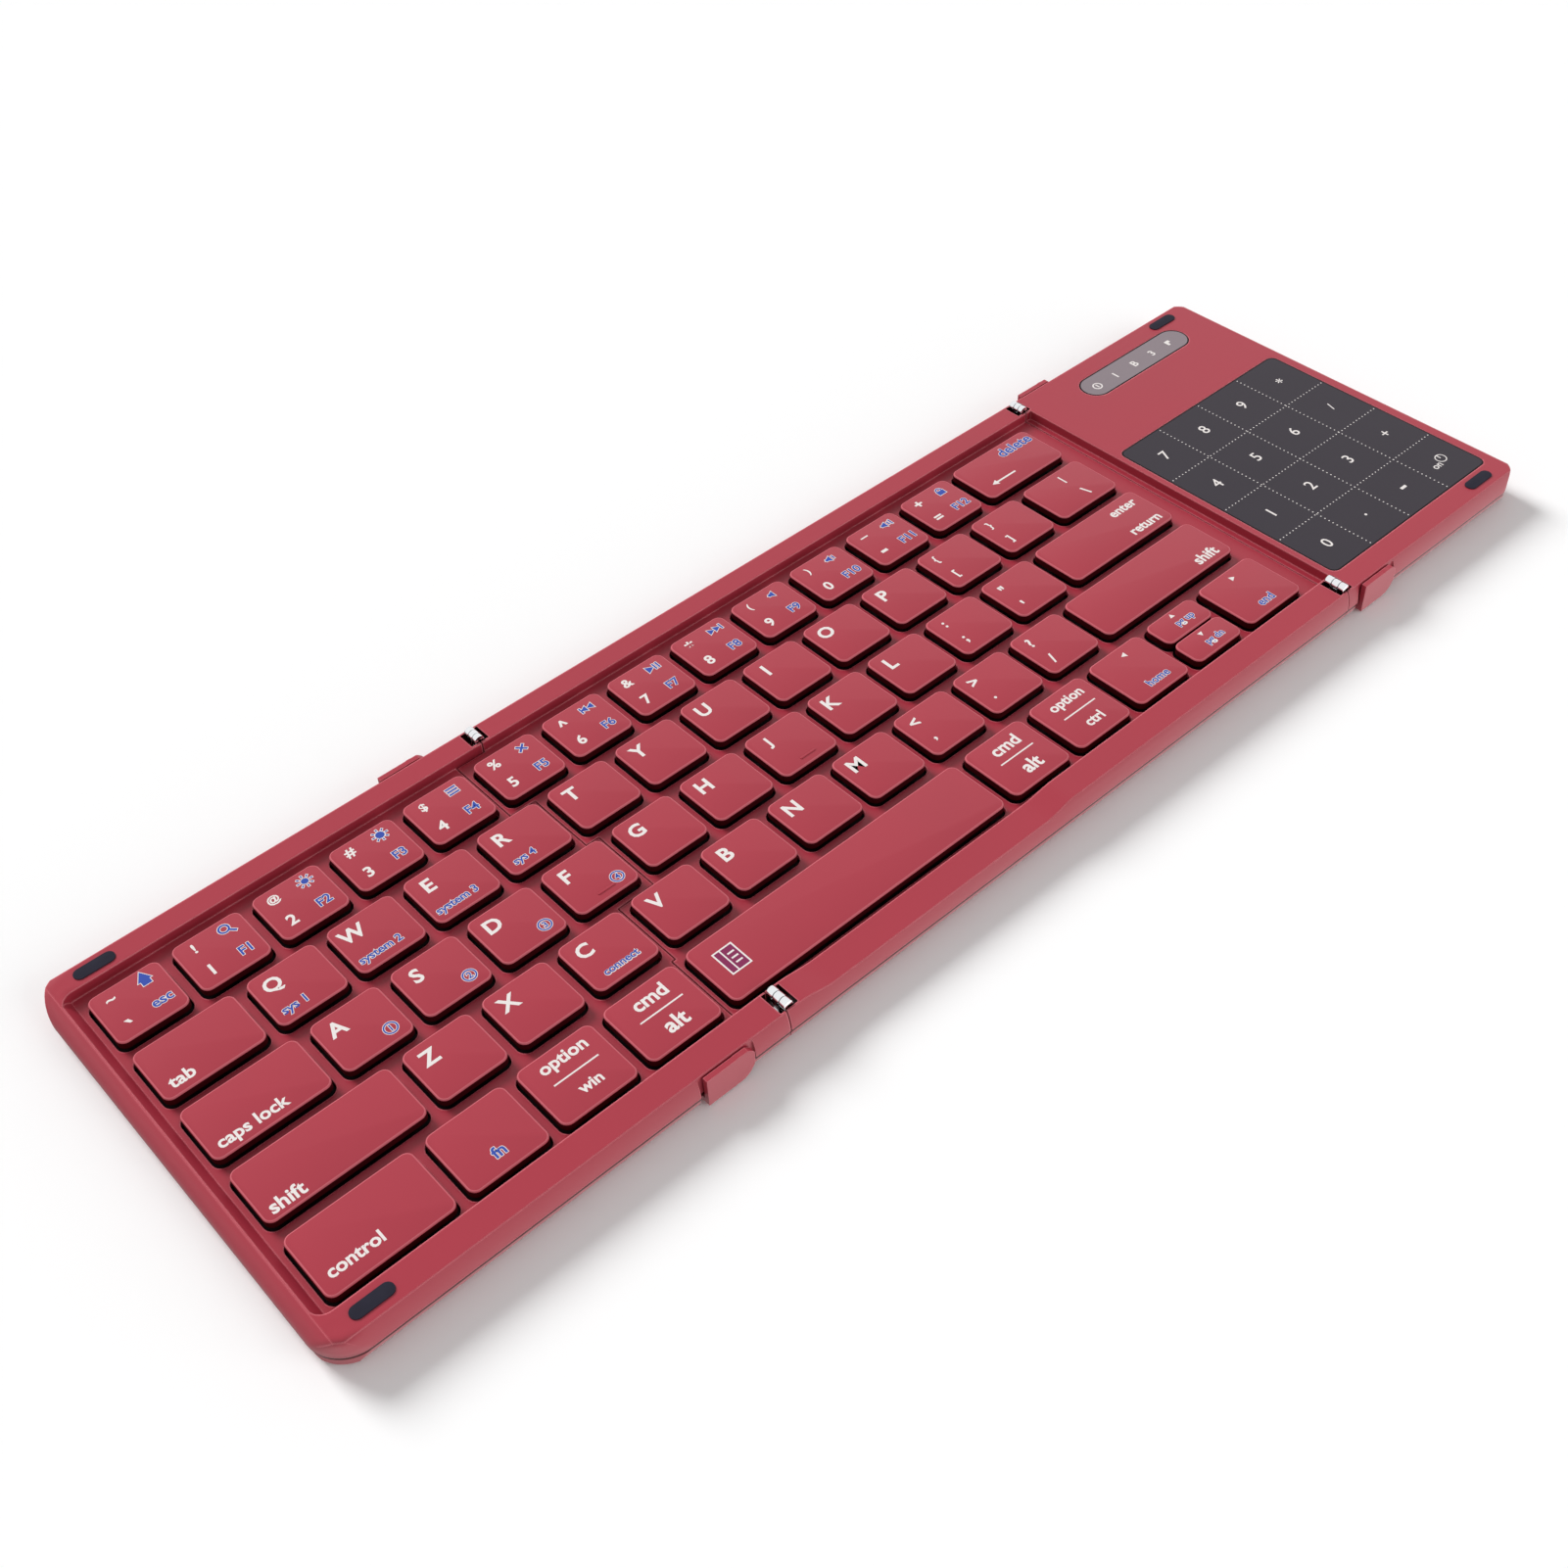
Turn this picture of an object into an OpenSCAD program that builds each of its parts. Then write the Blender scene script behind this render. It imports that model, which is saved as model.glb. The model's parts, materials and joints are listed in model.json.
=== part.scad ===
// Tri-fold keyboard with a touch number pad.
// Three thin panels lie flat in a row. The side panels swing up and over the centre one on
// friction barrels set in the rims. The fold line on the left steps from row to row, so that
// no key is cut in two. The frame's origin is under the middle of the case, on the table.

/* [Panels] */
// Width of the left panel, from its outer end to its fold line
left_w = 102.4; // [98:0.1:103]
// Width of the centre panel, between the two fold lines
center_w = 169.4; // [168.8:0.1:176]
// Width of the right panel, from its fold line to its outer end
right_w = 66.2; // [64:0.1:66.6]
// Depth of all three panels, front to back
panel_d = 105.8; // [104:0.1:112]
// Height of the case, without its feet
case_h = 7.3; // [7.2:0.05:8]
// Height of the lower shells below the seam
lower_h = 2.3; // [2.2:0.05:2.5]
// Corner radius at the left end
left_corner_r = 8; // [5:0.5:10]
// Corner radius at the right end
right_corner_r = 5.5; // [4:0.5:8]
// How far the front and back walls lean in at the top
side_lean = 1.0; // [0.8:0.05:1.1]
// How far the left end leans in at the top
left_lean = 2.6; // [2:0.1:2.7]
// How far the right end leans in at the top
right_lean = 0.6; // [0.4:0.05:0.8]
// How far the lower shells stand in from the seam
reveal = 0.2; // [0.2:0.05:0.4]
// How far the lower shells round in at the bottom
lower_round = 0.5; // [0.5:0.1:1]
// Thickness of the outer walls
wall = 1.8; // [1.7:0.05:2]
// Thickness of the floors
floor_t = 1.2; // [1.1:0.05:1.25]
// Thickness of the skin over the rims
skin_t = 1.2; // [1:0.1:1.4]
// Gap between two panels along a fold line
fold_gap = 0.3; // [0.3:0.05:0.4]
// How far left the left fold line sits in the front rim
front_step = 1.0; // [0:0.1:1.1]

/* [Key well] */
// Depth of the well below the rims
well_h = 2.5; // [2.4:0.05:2.6]
// Thickness of the deck at the bottom of the well
deck_t = 1.0; // [0.9:0.05:1.1]
// Width of the rim behind the well
back_rim = 6.5; // [6.4:0.1:7]
// Width of the rim in front of the well
front_rim = 7.4; // [7.2:0.1:8]
// Width of the wall between the left end and the well
left_rim = 2.9; // [2.8:0.1:3.2]
// How far the well's left side slopes in
well_slope = 2.0; // [1:0.1:2.2]
// Corner radius of the well
well_r = 3.0; // [2:0.5:4]
// Depth of the thumb scoop in the front rim
scoop_h = 1.0; // [0.5:0.1:1.1]
// Width of the scoop's flat floor
scoop_w = 58; // [40:1:70]
// Length of the ramp at each end of the scoop
scoop_ramp = 9; // [6:0.5:10]

/* [Keys] */
// Gap between two letter keys in a row
key_gap = 2.7; // [2.5:0.05:3]
// Gap between two rows
row_gap = 3.3; // [3.2:0.05:3.6]
// How much wider the gap behind the front row is
front_gap_extra = 0.4; // [0:0.1:0.6]
// How much deeper the front row's keys are
front_key_extra = 1.6; // [0.8:0.1:1.8]
// Height of a key cap
cap_h = 1.85; // [1.7:0.05:1.9]
// How far the caps stand below the rims
cap_drop = 0.15; // [0.1:0.05:0.3]
// Corner radius of a cap
cap_r = 1.8; // [1.2:0.1:2.4]
// Chamfer around the top of a cap
cap_edge = 0.35; // [0.2:0.05:0.5]
// Wall of a cap
cap_wall = 0.9; // [0.7:0.05:1]
// Gap between a cap and its hole in the deck
cap_gap = 0.45; // [0.4:0.05:0.5]
// Key travel
travel = 1.4; // [1.2:0.05:1.4]
// Radius of the stem under a cap
stem_r = 1.6; // [1.4:0.05:1.8]
// Running clearance of a stem in its collar
stem_fit = 0.1; // [0.08:0.01:0.12]
// Wall of a stem collar
collar_wall = 0.9; // [0.7:0.05:1.1]
// Width of the tab key, at the usual pitch
tab_key_w = 21.6; // [20.5:0.1:23]
// Width of the caps key, at the usual pitch
caps_key_w = 24.8; // [24:0.1:26]
// Width of the left shift key, at the usual pitch
shift_key_w = 33.7; // [33:0.1:35]
// Width of the backspace key, at the usual pitch
backspace_key_w = 25.6; // [24.8:0.1:26.5]
// Widths of the front row's keys, from the left, without the last, at the usual pitch
front_key_w = [26.5, 17.4, 17.4, 17.4, 73.4, 17.0, 16.4, 16.4, 15.2];
// Gap between the up and the down key
arrow_gap = 0.6; // [0.5:0.1:0.8]
// Gap between the left end and the keys
key_margin_left = 6.5; // [6.4:0.1:7]
// Gap between the well's back edge and the keys
key_margin_back = 3.9; // [3:0.1:4]
// Gap between the well's front edge and the keys
key_margin_front = 1.8; // [1.7:0.1:3]
// Gap between the right fold line and the keys
key_margin_right = 5.7; // [5.5:0.1:7]

/* [Hinges] */
// Radius of a hinge barrel
barrel_r = 1.15; // [1.05:0.05:1.4]
// Height of the hinge axis above the rims
axis_rise = 0.3; // [0.3:0.05:0.4]
// Radius of a hinge pin
pin_r = 0.45; // [0.4:0.05:0.5]
// Running clearance of a pin in its knuckles
pin_fit = 0.05; // [0.03:0.01:0.08]
// Gap between two knuckles
knuckle_gap = 0.3; // [0.2:0.05:0.35]
// Thickness of a hinge leaf
leaf_t = 0.8; // [0.6:0.1:0.9]
// Length of a hinge leaf from the axis
leaf_l = 10; // [8:0.5:10.5]
// Half width of the pocket around a barrel
pocket_w = 2.2; // [2:0.1:2.4]
// Gap between a barrel's ends and its pocket
pocket_end = 0.2; // [0.15:0.05:0.3]

/* [Stands] */
// Distance from the fold line's leftmost step back to the left stand's pivot
left_stand_x = 6.55; // [6.5:0.05:10]
// Distance from the right fold line on to the right stand's pivot
right_stand_x = 12.3; // [11:0.1:13]
// Reach of a stand from its pivot
stand_reach = 7.7; // [7:0.1:7.8]
// Radius around a stand's pivot
stand_r = 3.7; // [3.5:0.05:3.8]
// Thickness of a stand's ears
ear_t = 1.2; // [1.2:0.05:1.7]
// Thickness of a stand's bar
bar_t = 1.2; // [1:0.05:1.3]
// Width of a stand's bar
bar_w = 5.2; // [4.5:0.1:5.2]
// Radius of a pivot boss
boss_r = 1.0; // [0.8:0.05:1]

/* [Touch pad] */
// Width of the low ledge along the right panel's fold edge
ledge_w = 1.7; // [1:0.1:2]
// Width of the touch pad
pad_w = 59.6; // [56:0.1:60]
// Depth of the touch pad
pad_d = 64.5; // [60:0.1:66]
// Thickness of the pad's glass
glass_t = 0.9; // [0.7:0.05:1]
// Gap between the pad and the front wall at its widest
pad_margin_front = 7.1; // [7:0.1:9]
// Gap between the pad and the right end
pad_margin_right = 3.2; // [3:0.1:4]
// Distance from the back wall at its widest to the middle of the indicator window
window_margin = 10.9; // [9:0.1:12]
// Length of the indicator window
window_w = 38.5; // [30:0.1:40]
// Width of the indicator window
window_d = 8.4; // [7:0.1:10]

/* [Inside] */
// Length of the battery
battery_w = 40; // [30:1:44]
// Depth of the battery
battery_d = 48; // [36:1:52]
// Thickness of the battery
battery_t = 3; // [2:0.1:3]
// Length of the main board
board_w = 41; // [36:1:42]
// Depth of the main board
board_d = 27.7; // [24:0.1:30]
// Thickness of the boards
board_t = 0.8; // [0.6:0.1:1]

/* [Rubber] */
// Height of the feet
foot_h = 0.7; // [0.6:0.05:1]
// Length of a foot
foot_w = 14; // [8:0.5:18]
// Width of a foot
foot_d = 4; // [3:0.5:5]
// Length of a bumper on the rims
bumper_w = 9.4; // [7:0.1:11]
// Width of a bumper
bumper_d = 3.3; // [2.4:0.1:3.4]
// How far a bumper stands proud of the rim
bumper_rise = 0.25; // [0.1:0.05:0.3]

/* [Hidden] */
$fn = 48;
CASE = [0.70, 0.29, 0.34];
CASE_DARK = [0.60, 0.22, 0.27];
KEYCAP = [0.72, 0.30, 0.35];
CHROME = [0.82, 0.83, 0.85];
RUBBER = [0.17, 0.17, 0.19];
GLASS = [0.27, 0.26, 0.29];
BOARD = [0.16, 0.36, 0.24];
STEEL = [0.66, 0.67, 0.69];

// Joint clearance between two moving pieces that aren't a running fit
clear = 0.3;
eps = 0.01;
far = 500;

// Heights, from the table up
base_z = foot_h;
floor_z = base_z + floor_t;
seam_z = base_z + lower_h;
rim_z = base_z + case_h;
deck_z = rim_z - well_h;
under_deck_z = deck_z - deck_t;
skin_z = rim_z - skin_t;
cap_top_z = rim_z - cap_drop;
cap_z = cap_top_z - cap_h;
axis_z = rim_z + axis_rise;

// Places along the length
total_w = left_w + center_w + right_w;
left_end = -total_w / 2;
right_end = total_w / 2;
fold_1 = left_end + left_w;
fold_2 = right_end - right_w;

// Places across the depth
side_y = panel_d / 2;
inner_y = side_y - wall;
well_back = side_y - back_rim;
well_front = -side_y + front_rim;
well_left = left_end + left_rim;
well_wall = 1.0;

// The key field: the keys are stretched so that the number row fills both panels
unit_n = [13, 12, 11, 10];
left_n = [5, 4, 4, 3];
front_left_n = 4;
row_n = 5;
keys_left = left_end + key_margin_left;
keys_right = fold_2 - key_margin_right;
usual_pitch = 18;
usual_field = unit_n[0] * usual_pitch + backspace_key_w + key_gap;
stretch = (keys_right - keys_left + key_gap) / usual_field;
key_pitch = stretch * usual_pitch;
key_w = key_pitch - key_gap;
function stretched(w) = (w + key_gap) * stretch - key_gap;
tab_w = stretched(tab_key_w);
caps_w = stretched(caps_key_w);
shift_w = stretched(shift_key_w);
front_w = [for (w = front_key_w) stretched(w)];
front_row_gap = row_gap + front_gap_extra;
rows_d = well_back - well_front - key_margin_back - key_margin_front;
key_d = (rows_d - (row_n - 1) * row_gap - front_gap_extra - front_key_extra) / row_n;
front_key_d = key_d + front_key_extra;
row_pitch = key_d + row_gap;
lead_w = [0, tab_w, caps_w, shift_w];

function sum(v, n, i = 0) = i >= n ? 0 : v[i] + sum(v, n, i + 1);
function row_y(r) = well_back - key_margin_back - key_d / 2 - r * row_pitch;
function unit_left(r, i) =
    keys_left + (lead_w[r] > 0 ? lead_w[r] + key_gap : 0) + i * key_pitch;
function front_left(i) = keys_left + sum(front_w, i) + i * key_gap;
front_y = row_y(3) - key_d / 2 - front_row_gap - front_key_d / 2;
half_d = (front_key_d - arrow_gap) / 2;

// A key is [left edge, width, centre in y, depth]
function unit_key(r, i) = [unit_left(r, i), key_w, row_y(r), key_d];
function lead_key(r) = [keys_left, lead_w[r], row_y(r), key_d];
function tail_key(r) =
    let (x = unit_left(r, unit_n[r])) [x, keys_right - x, row_y(r), key_d];
function front_key(i) = [front_left(i), front_w[i], front_y, front_key_d];
function half_key(side) =
    [front_left(8), front_w[8], front_y + side * (front_key_d - half_d) / 2, half_d];
function last_key() = let (x = front_left(9)) [x, keys_right - x, front_y, front_key_d];

left_keys = concat(
    [for (r = [0:3]) for (i = [0:left_n[r] - 1]) unit_key(r, i)],
    [for (r = [1:3]) lead_key(r)],
    [for (i = [0:front_left_n - 1]) front_key(i)]);
center_keys = concat(
    [for (r = [0:3]) for (i = [left_n[r]:unit_n[r] - 1]) unit_key(r, i)],
    [for (r = [0:3]) tail_key(r)],
    [for (i = [front_left_n:7]) front_key(i)],
    [half_key(1), half_key(-1), last_key()]);

// Stems: one under a small cap, two under a wide one, three under the space bar
function stem_n(k) = k[1] > 60 ? 3 : k[1] > 22 ? 2 : 1;
function stem_reach(k) = k[1] / 2 - 6;
function stems(k) = [for (j = [0:stem_n(k) - 1])
    [k[0] + k[1] / 2 + (stem_n(k) == 1 ? 0 : stem_reach(k) * (2 * j / (stem_n(k) - 1) - 1)), k[2]]];

// The key plate, its collars and the stems that run in them
plate_t = 0.4;
plate_top = seam_z + 0.1;
stem_z = plate_top - plate_t + travel;
collar_z = stem_z + 0.3;

// Fold lines as bands [x, from y, to y]: straight in the rims, stepped between the rows
function row_edge(r) = row_y(r) - key_d / 2 - row_gap / 2;
front_edge = front_y + front_key_d / 2 + front_row_gap / 2;
fold_bands_1 = concat(
    [[fold_1, well_back, far], [fold_1 - front_step, -far, well_front]],
    [for (r = [0:3]) [unit_left(r, left_n[r]) - key_gap / 2,
        r == 3 ? front_edge : row_edge(r), r == 0 ? well_back : row_edge(r - 1)]],
    [[front_left(front_left_n) - key_gap / 2, well_front, front_edge]]);
fold_bands_2 = [[fold_2, well_back, far], [fold_2, -far, well_front],
    [fold_2, well_front, well_back]];

// Stands
pivot_z = base_z + 3.5;
ear_top = rim_z - 0.2;
notch_y = side_y - 0.9;
ear_y = notch_y + 0.4;
ear_out = ear_y + ear_t;
channel_top = base_z + 1.4;
channel_roof = 0.4;
fold_1_left = min([for (band = fold_bands_1) band[0]]);
stand_x1 = fold_1_left - left_stand_x;
stand_x2 = fold_2 + right_stand_x;
notch_left = 8.8;
notch_right = 4.5;

// Right panel
pad_x = right_end - pad_margin_right - pad_w / 2;
pad_y = -side_y + pad_margin_front + pad_d / 2;
pad_r = 2.0;
window_x = fold_2 + 36.4;
window_y = side_y - window_margin;
right_ceiling = rim_z - 1.9;
board_z = floor_z + 0.3;
port = [8.9, 7.3, 3.0];
port_x = window_x;

// Barrels, from their outer to their inner ends
front_barrel = [side_y - 1.6, side_y - 6.8];
back_barrel = [side_y - 1.6, side_y - 5.7];
leaf_z = rim_z - 3.3;
pocket_z = leaf_z - 0.3;

// ---- plan shapes ----

module round_rect(w, d, r) {
    translate([-w / 2 + r, -d / 2]) square([w - 2 * r, d]);
    translate([-w / 2, -d / 2 + r]) square([w, d - 2 * r]);
    for (x = [-1, 1]) for (y = [-1, 1])
        translate([x * (w / 2 - r), y * (d / 2 - r)]) circle(r);
}

// A rounded strip of length w and width d
module stadium(w, d) {
    translate([-(w - d) / 2, -d / 2]) square([w - d, d]);
    for (x = [-1, 1]) translate([x * (w - d) / 2, 0]) circle(d / 2);
}

// One half of the case's outline, cut at the middle of the length
module case_half(r, inset) {
    x = total_w / 2 - inset;
    y = side_y - inset;
    translate([0, -y]) square([x - r, 2 * y]);
    translate([0, -y + r]) square([x, 2 * y - 2 * r]);
    for (s = [-1, 1]) translate([x - r, s * (y - r)]) circle(r);
}

// Outline of the whole open case, moved in by inset
module case_plan(inset = 0) {
    mirror([1, 0]) case_half(left_corner_r - inset, inset);
    case_half(right_corner_r - inset, inset);
}

// Everything to the left of a fold line, and everything to its right
module west_of(bands, grow = 0) {
    for (b = bands)
        translate([-far, b[1] - grow])
            square([far + b[0] - fold_gap / 2 + grow, b[2] - b[1] + 2 * grow]);
}

module east_of(bands, grow = 0) {
    for (b = bands)
        translate([b[0] - fold_gap / 2 - grow, b[1] - grow])
            square([far, b[2] - b[1] + 2 * grow]);
}

// One panel's outline: outer edges moved in by inset, fold edges by fold_inset
module panel_plan(panel, inset = 0, fold_inset = 0) {
    difference() {
        case_plan(inset);
        if (panel == "left") east_of(fold_bands_1, fold_inset);
        if (panel != "left") west_of(fold_bands_1, fold_gap + fold_inset);
        if (panel == "center") east_of(fold_bands_2, fold_inset);
        if (panel == "right") west_of(fold_bands_2, fold_gap + fold_inset);
    }
}

// ---- wall profiles ----

// A wall profile of width w from z0 to z1, whose sides arc in at z1
module arched(w, h, lean_1, lean_2) {
    difference() {
        translate([-w / 2, 0]) square([w, h]);
        for (side = [[-1, lean_1], [1, lean_2]]) {
            arc_r = (side[1] * side[1] + h * h) / (2 * side[1]);
            difference() {
                translate([side[0] > 0 ? w / 2 - arc_r : -w / 2 - 1, -1])
                    square([arc_r + 1, h + 2]);
                translate([side[0] * (w / 2 - arc_r), 0]) circle(arc_r, $fn = 96);
                translate([-w / 2, -2]) square([w, 2]);
            }
        }
    }
}

module along_x() { rotate([90, 0, 90]) linear_extrude(far, center = true) children(); }
module along_y() { rotate([90, 0, 0]) linear_extrude(far, center = true) children(); }

// Solid block of one panel's upper shell
module upper_block(panel) {
    h = rim_z - seam_z;
    intersection() {
        translate([0, 0, seam_z]) linear_extrude(h) panel_plan(panel);
        translate([0, 0, seam_z]) along_x() arched(panel_d, h, side_lean, side_lean);
        translate([0, 0, seam_z]) along_y() arched(total_w, h, left_lean, right_lean);
    }
}

// Solid block of one panel's lower shell
module lower_block(panel) {
    w = total_w - 2 * reveal;
    d = panel_d - 2 * reveal;
    intersection() {
        translate([0, 0, base_z]) linear_extrude(lower_h) panel_plan(panel, reveal);
        translate([0, 0, seam_z]) mirror([0, 0, 1])
            along_x() arched(d, lower_h, lower_round, lower_round);
        translate([0, 0, seam_z]) mirror([0, 0, 1])
            along_y() arched(w, lower_h, lower_round, lower_round);
    }
}

// ---- cuts and details shared by the shells ----

// The key well: vertical at the back and front, sloping at the left
module well_cut() {
    w = fold_2 + 20 - well_left;
    d = well_back - well_front;
    top = rim_z + 1;
    run = well_slope * (top - deck_z) / well_h;
    intersection() {
        translate([well_left + w / 2, (well_back + well_front) / 2, deck_z])
            linear_extrude(well_h + 1) round_rect(w, d, well_r);
        along_y() polygon([[well_left + well_slope, deck_z], [fold_2 + 20, deck_z],
            [fold_2 + 20, top], [well_left + well_slope - run, top]]);
    }
}

// Hollow under a deck, with a channel up into each rim
module deck_hollow(panel, front_ceiling) {
    translate([0, 0, seam_z - 1]) linear_extrude(under_deck_z - seam_z + 1)
        panel_plan(panel, wall, 0.8);
    translate([0, 0, seam_z]) linear_extrude(skin_z - seam_z) intersection() {
        panel_plan(panel, wall, 0.8);
        translate([well_left, well_back + well_wall]) square([far, far]);
    }
    translate([0, 0, seam_z]) linear_extrude(front_ceiling - seam_z) intersection() {
        panel_plan(panel, wall, 0.8);
        translate([well_left, well_front - well_wall - far]) square([far, far]);
    }
}

module key_holes(keys) {
    for (k = keys)
        translate([k[0] + k[1] / 2, k[2], under_deck_z - 1]) linear_extrude(deck_t + 2)
            round_rect(k[1] + 2 * cap_gap, k[3] + 2 * cap_gap, cap_r + cap_gap);
}

// Pocket in the rims around the barrels on one fold line
module barrel_pockets(fold) {
    for (y = [[-front_barrel[0], -front_barrel[1]], [back_barrel[1], back_barrel[0]]])
        translate([fold - pocket_w, y[0] - pocket_end, pocket_z])
            cube([2 * pocket_w, y[1] - y[0] + 2 * pocket_end, far]);
}

// Notches in the walls around a stand's ears
module ear_notches(x) {
    for (s = [-1, 1])
        translate([x - notch_left, s > 0 ? notch_y : -notch_y - far, -1])
            cube([notch_left + notch_right, far, far]);
}

// Bosses that carry a stand's ears
module pivot_bosses(x) {
    for (s = [-1, 1]) translate([x, s * inner_y, pivot_z])
        rotate([-s * 90, 0, 0]) cylinder(r = boss_r, h = ear_out - 0.5 - inner_y);
}

// Channel across the floor for a stand's bar
module stand_channel(x) {
    translate([x - notch_left, -far / 2, -1])
        cube([notch_left + notch_right, far, channel_top + 1]);
}

// Spots between the rows where posts hold the key plate
function post_spots(x0, n) = [for (i = [0:n - 1]) for (r = [0:2]) [x0 + i * 26, row_edge(r)]];
left_posts = post_spots(left_end + 17, 3);
center_posts = post_spots(fold_1 + 12, 6);
post_r = 0.9;

// Seats for the hinge leaves: s is the sign of the panel's side of the fold
module leaf_seat(fold, s, z0, z1) {
    for (y = [-(inner_y + front_rim_inner()) / 2, (inner_y + back_rim_inner()) / 2])
        translate([fold + s * (leaf_l - 2.5) - 1.5, y - 1.5, z0]) cube([3, 3, z1 - z0]);
}

function front_rim_inner() = -(well_front - well_wall);
function back_rim_inner() = well_back + well_wall;

// ---- shells ----

module lower_shell(panel, folds, stand, posts) {
    difference() {
        lower_block(panel);
        difference() {
            translate([0, 0, floor_z]) linear_extrude(far) panel_plan(panel, wall, 1.2);
            if (stand != 0) translate([stand - notch_left - 1, -far / 2, 0])
                cube([notch_left + notch_right + 2, far, channel_top + channel_roof]);
        }
        if (stand != 0) stand_channel(stand);
        if (stand != 0) ear_notches(stand);
    }
    for (f = folds) leaf_seat(f[0], f[1], floor_z - eps, leaf_z);
    for (p = posts) translate([p[0], p[1], floor_z - eps])
        cylinder(r = post_r + 0.3, h = plate_top - plate_t - floor_z + eps);
}

// An upper shell with the key well, and what carries the plate and the hinge leaves
module key_deck(panel, keys, folds, stand, posts, front_ceiling) {
    difference() {
        upper_block(panel);
        well_cut();
        deck_hollow(panel, front_ceiling);
        key_holes(keys);
        for (f = folds) barrel_pockets(f[0]);
        if (stand != 0) ear_notches(stand);
        if (panel == "center") scoop();
    }
    for (p = posts) translate([p[0], p[1], plate_top])
        cylinder(r = post_r, h = under_deck_z - plate_top + eps);
    if (stand != 0) pivot_bosses(stand);
}

// Thumb scoop: a flat floor with an S-shaped ramp at each end
module scoop() {
    steps = 8;
    x0 = fold_1 + pocket_w + 0.1;
    ramp = [for (i = [0:steps]) [i / steps * scoop_ramp,
        -scoop_h * (1 - cos(180 * i / steps)) / 2]];
    outline = concat(
        [for (p = ramp) [x0 + p[0], rim_z + p[1]]],
        [for (i = [steps:-1:0]) [x0 + 2 * scoop_ramp + scoop_w - ramp[i][0], rim_z + ramp[i][1]]],
        [[x0 + 2 * scoop_ramp + scoop_w, rim_z + 1], [x0, rim_z + 1]]);
    intersection() {
        along_y() polygon(outline);
        translate([-far / 2, well_front + eps - far, 0]) cube(far);
    }
}

module center_bottom_shell() {
    color(CASE_DARK) lower_shell("center", [[fold_1, 1], [fold_2, -1]], 0, center_posts);
}

module left_bottom_shell() {
    color(CASE_DARK) lower_shell("left", [[fold_1, -1]], stand_x1, left_posts);
}

module right_bottom_shell() {
    color(CASE_DARK) lower_shell("right", [[fold_2, 1]], stand_x2, []);
}

module center_deck() {
    color(CASE) key_deck("center", center_keys, [[fold_1, 1], [fold_2, -1]], 0,
        center_posts, rim_z - scoop_h - skin_t);
}

module left_deck() {
    color(CASE) key_deck("left", left_keys, [[fold_1, -1]], stand_x1, left_posts, skin_z);
}

module right_top_shell() {
    ledge_d = well_back - well_front;
    color(CASE) difference() {
        upper_block("right");
        translate([0, 0, seam_z - 1]) linear_extrude(right_ceiling - seam_z + 1) difference() {
            panel_plan("right", wall, 1.2);
            translate([fold_2, well_front - 0.8]) square([ledge_w + 0.8, ledge_d + 1.6]);
        }
        translate([fold_2 - 1, well_front, deck_z]) cube([ledge_w + 1, ledge_d, far]);
        translate([pad_x, pad_y, rim_z - glass_t]) linear_extrude(far)
            round_rect(pad_w + 0.2, pad_d + 0.2, pad_r + 0.1);
        translate([window_x, window_y, rim_z - glass_t]) linear_extrude(far)
            stadium(window_w + 0.2, window_d + 0.2);
        barrel_pockets(fold_2);
        ear_notches(stand_x2);
        translate([port_x - port[0] / 2 - 0.1, 0, seam_z - 1])
            cube([port[0] + 0.2, far, port[2] + 1.1]);
    }
    color(CASE) pivot_bosses(stand_x2);
}

// ---- keys ----

// A cap's outer shape: a rounded plan with a chamfer around its top
module cap_block(w, d) {
    h = cap_h;
    e = cap_edge;
    rotate([90, 0, 0]) linear_extrude(d - 2 * cap_r, center = true)
        polygon([[-w / 2, 0], [w / 2, 0], [w / 2, h - e], [w / 2 - e, h],
            [-w / 2 + e, h], [-w / 2, h - e]]);
    rotate([90, 0, 90]) linear_extrude(w - 2 * cap_r, center = true)
        polygon([[-d / 2, 0], [d / 2, 0], [d / 2, h - e], [d / 2 - e, h],
            [-d / 2 + e, h], [-d / 2, h - e]]);
    for (x = [-1, 1]) for (y = [-1, 1])
        translate([x * (w / 2 - cap_r), y * (d / 2 - cap_r), 0])
            rotate_extrude() polygon([[0, 0], [cap_r, 0], [cap_r, h - e], [cap_r - e, h], [0, h]]);
}

// A hollow cap with its stems; bar adds the homing bar that a finger finds
module keycap(k, bar = false) {
    top_t = cap_wall;
    color(KEYCAP) {
        translate([k[0] + k[1] / 2, k[2], cap_z]) difference() {
            cap_block(k[1], k[3]);
            translate([0, 0, -eps]) linear_extrude(cap_h - top_t + eps)
                round_rect(k[1] - 2 * cap_wall, k[3] - 2 * cap_wall, cap_r - cap_wall);
        }
        for (p = stems(k)) translate([p[0], p[1], stem_z])
            cylinder(r = stem_r, h = cap_top_z - top_t - stem_z + eps);
        if (bar) translate([k[0] + k[1] / 2 - 2, k[2] - k[3] / 2 + 2.4, cap_top_z - eps])
            cube([4, 0.7, 0.2]);
    }
}

module keycaps(keys) { for (k = keys) keycap(k); }

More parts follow.
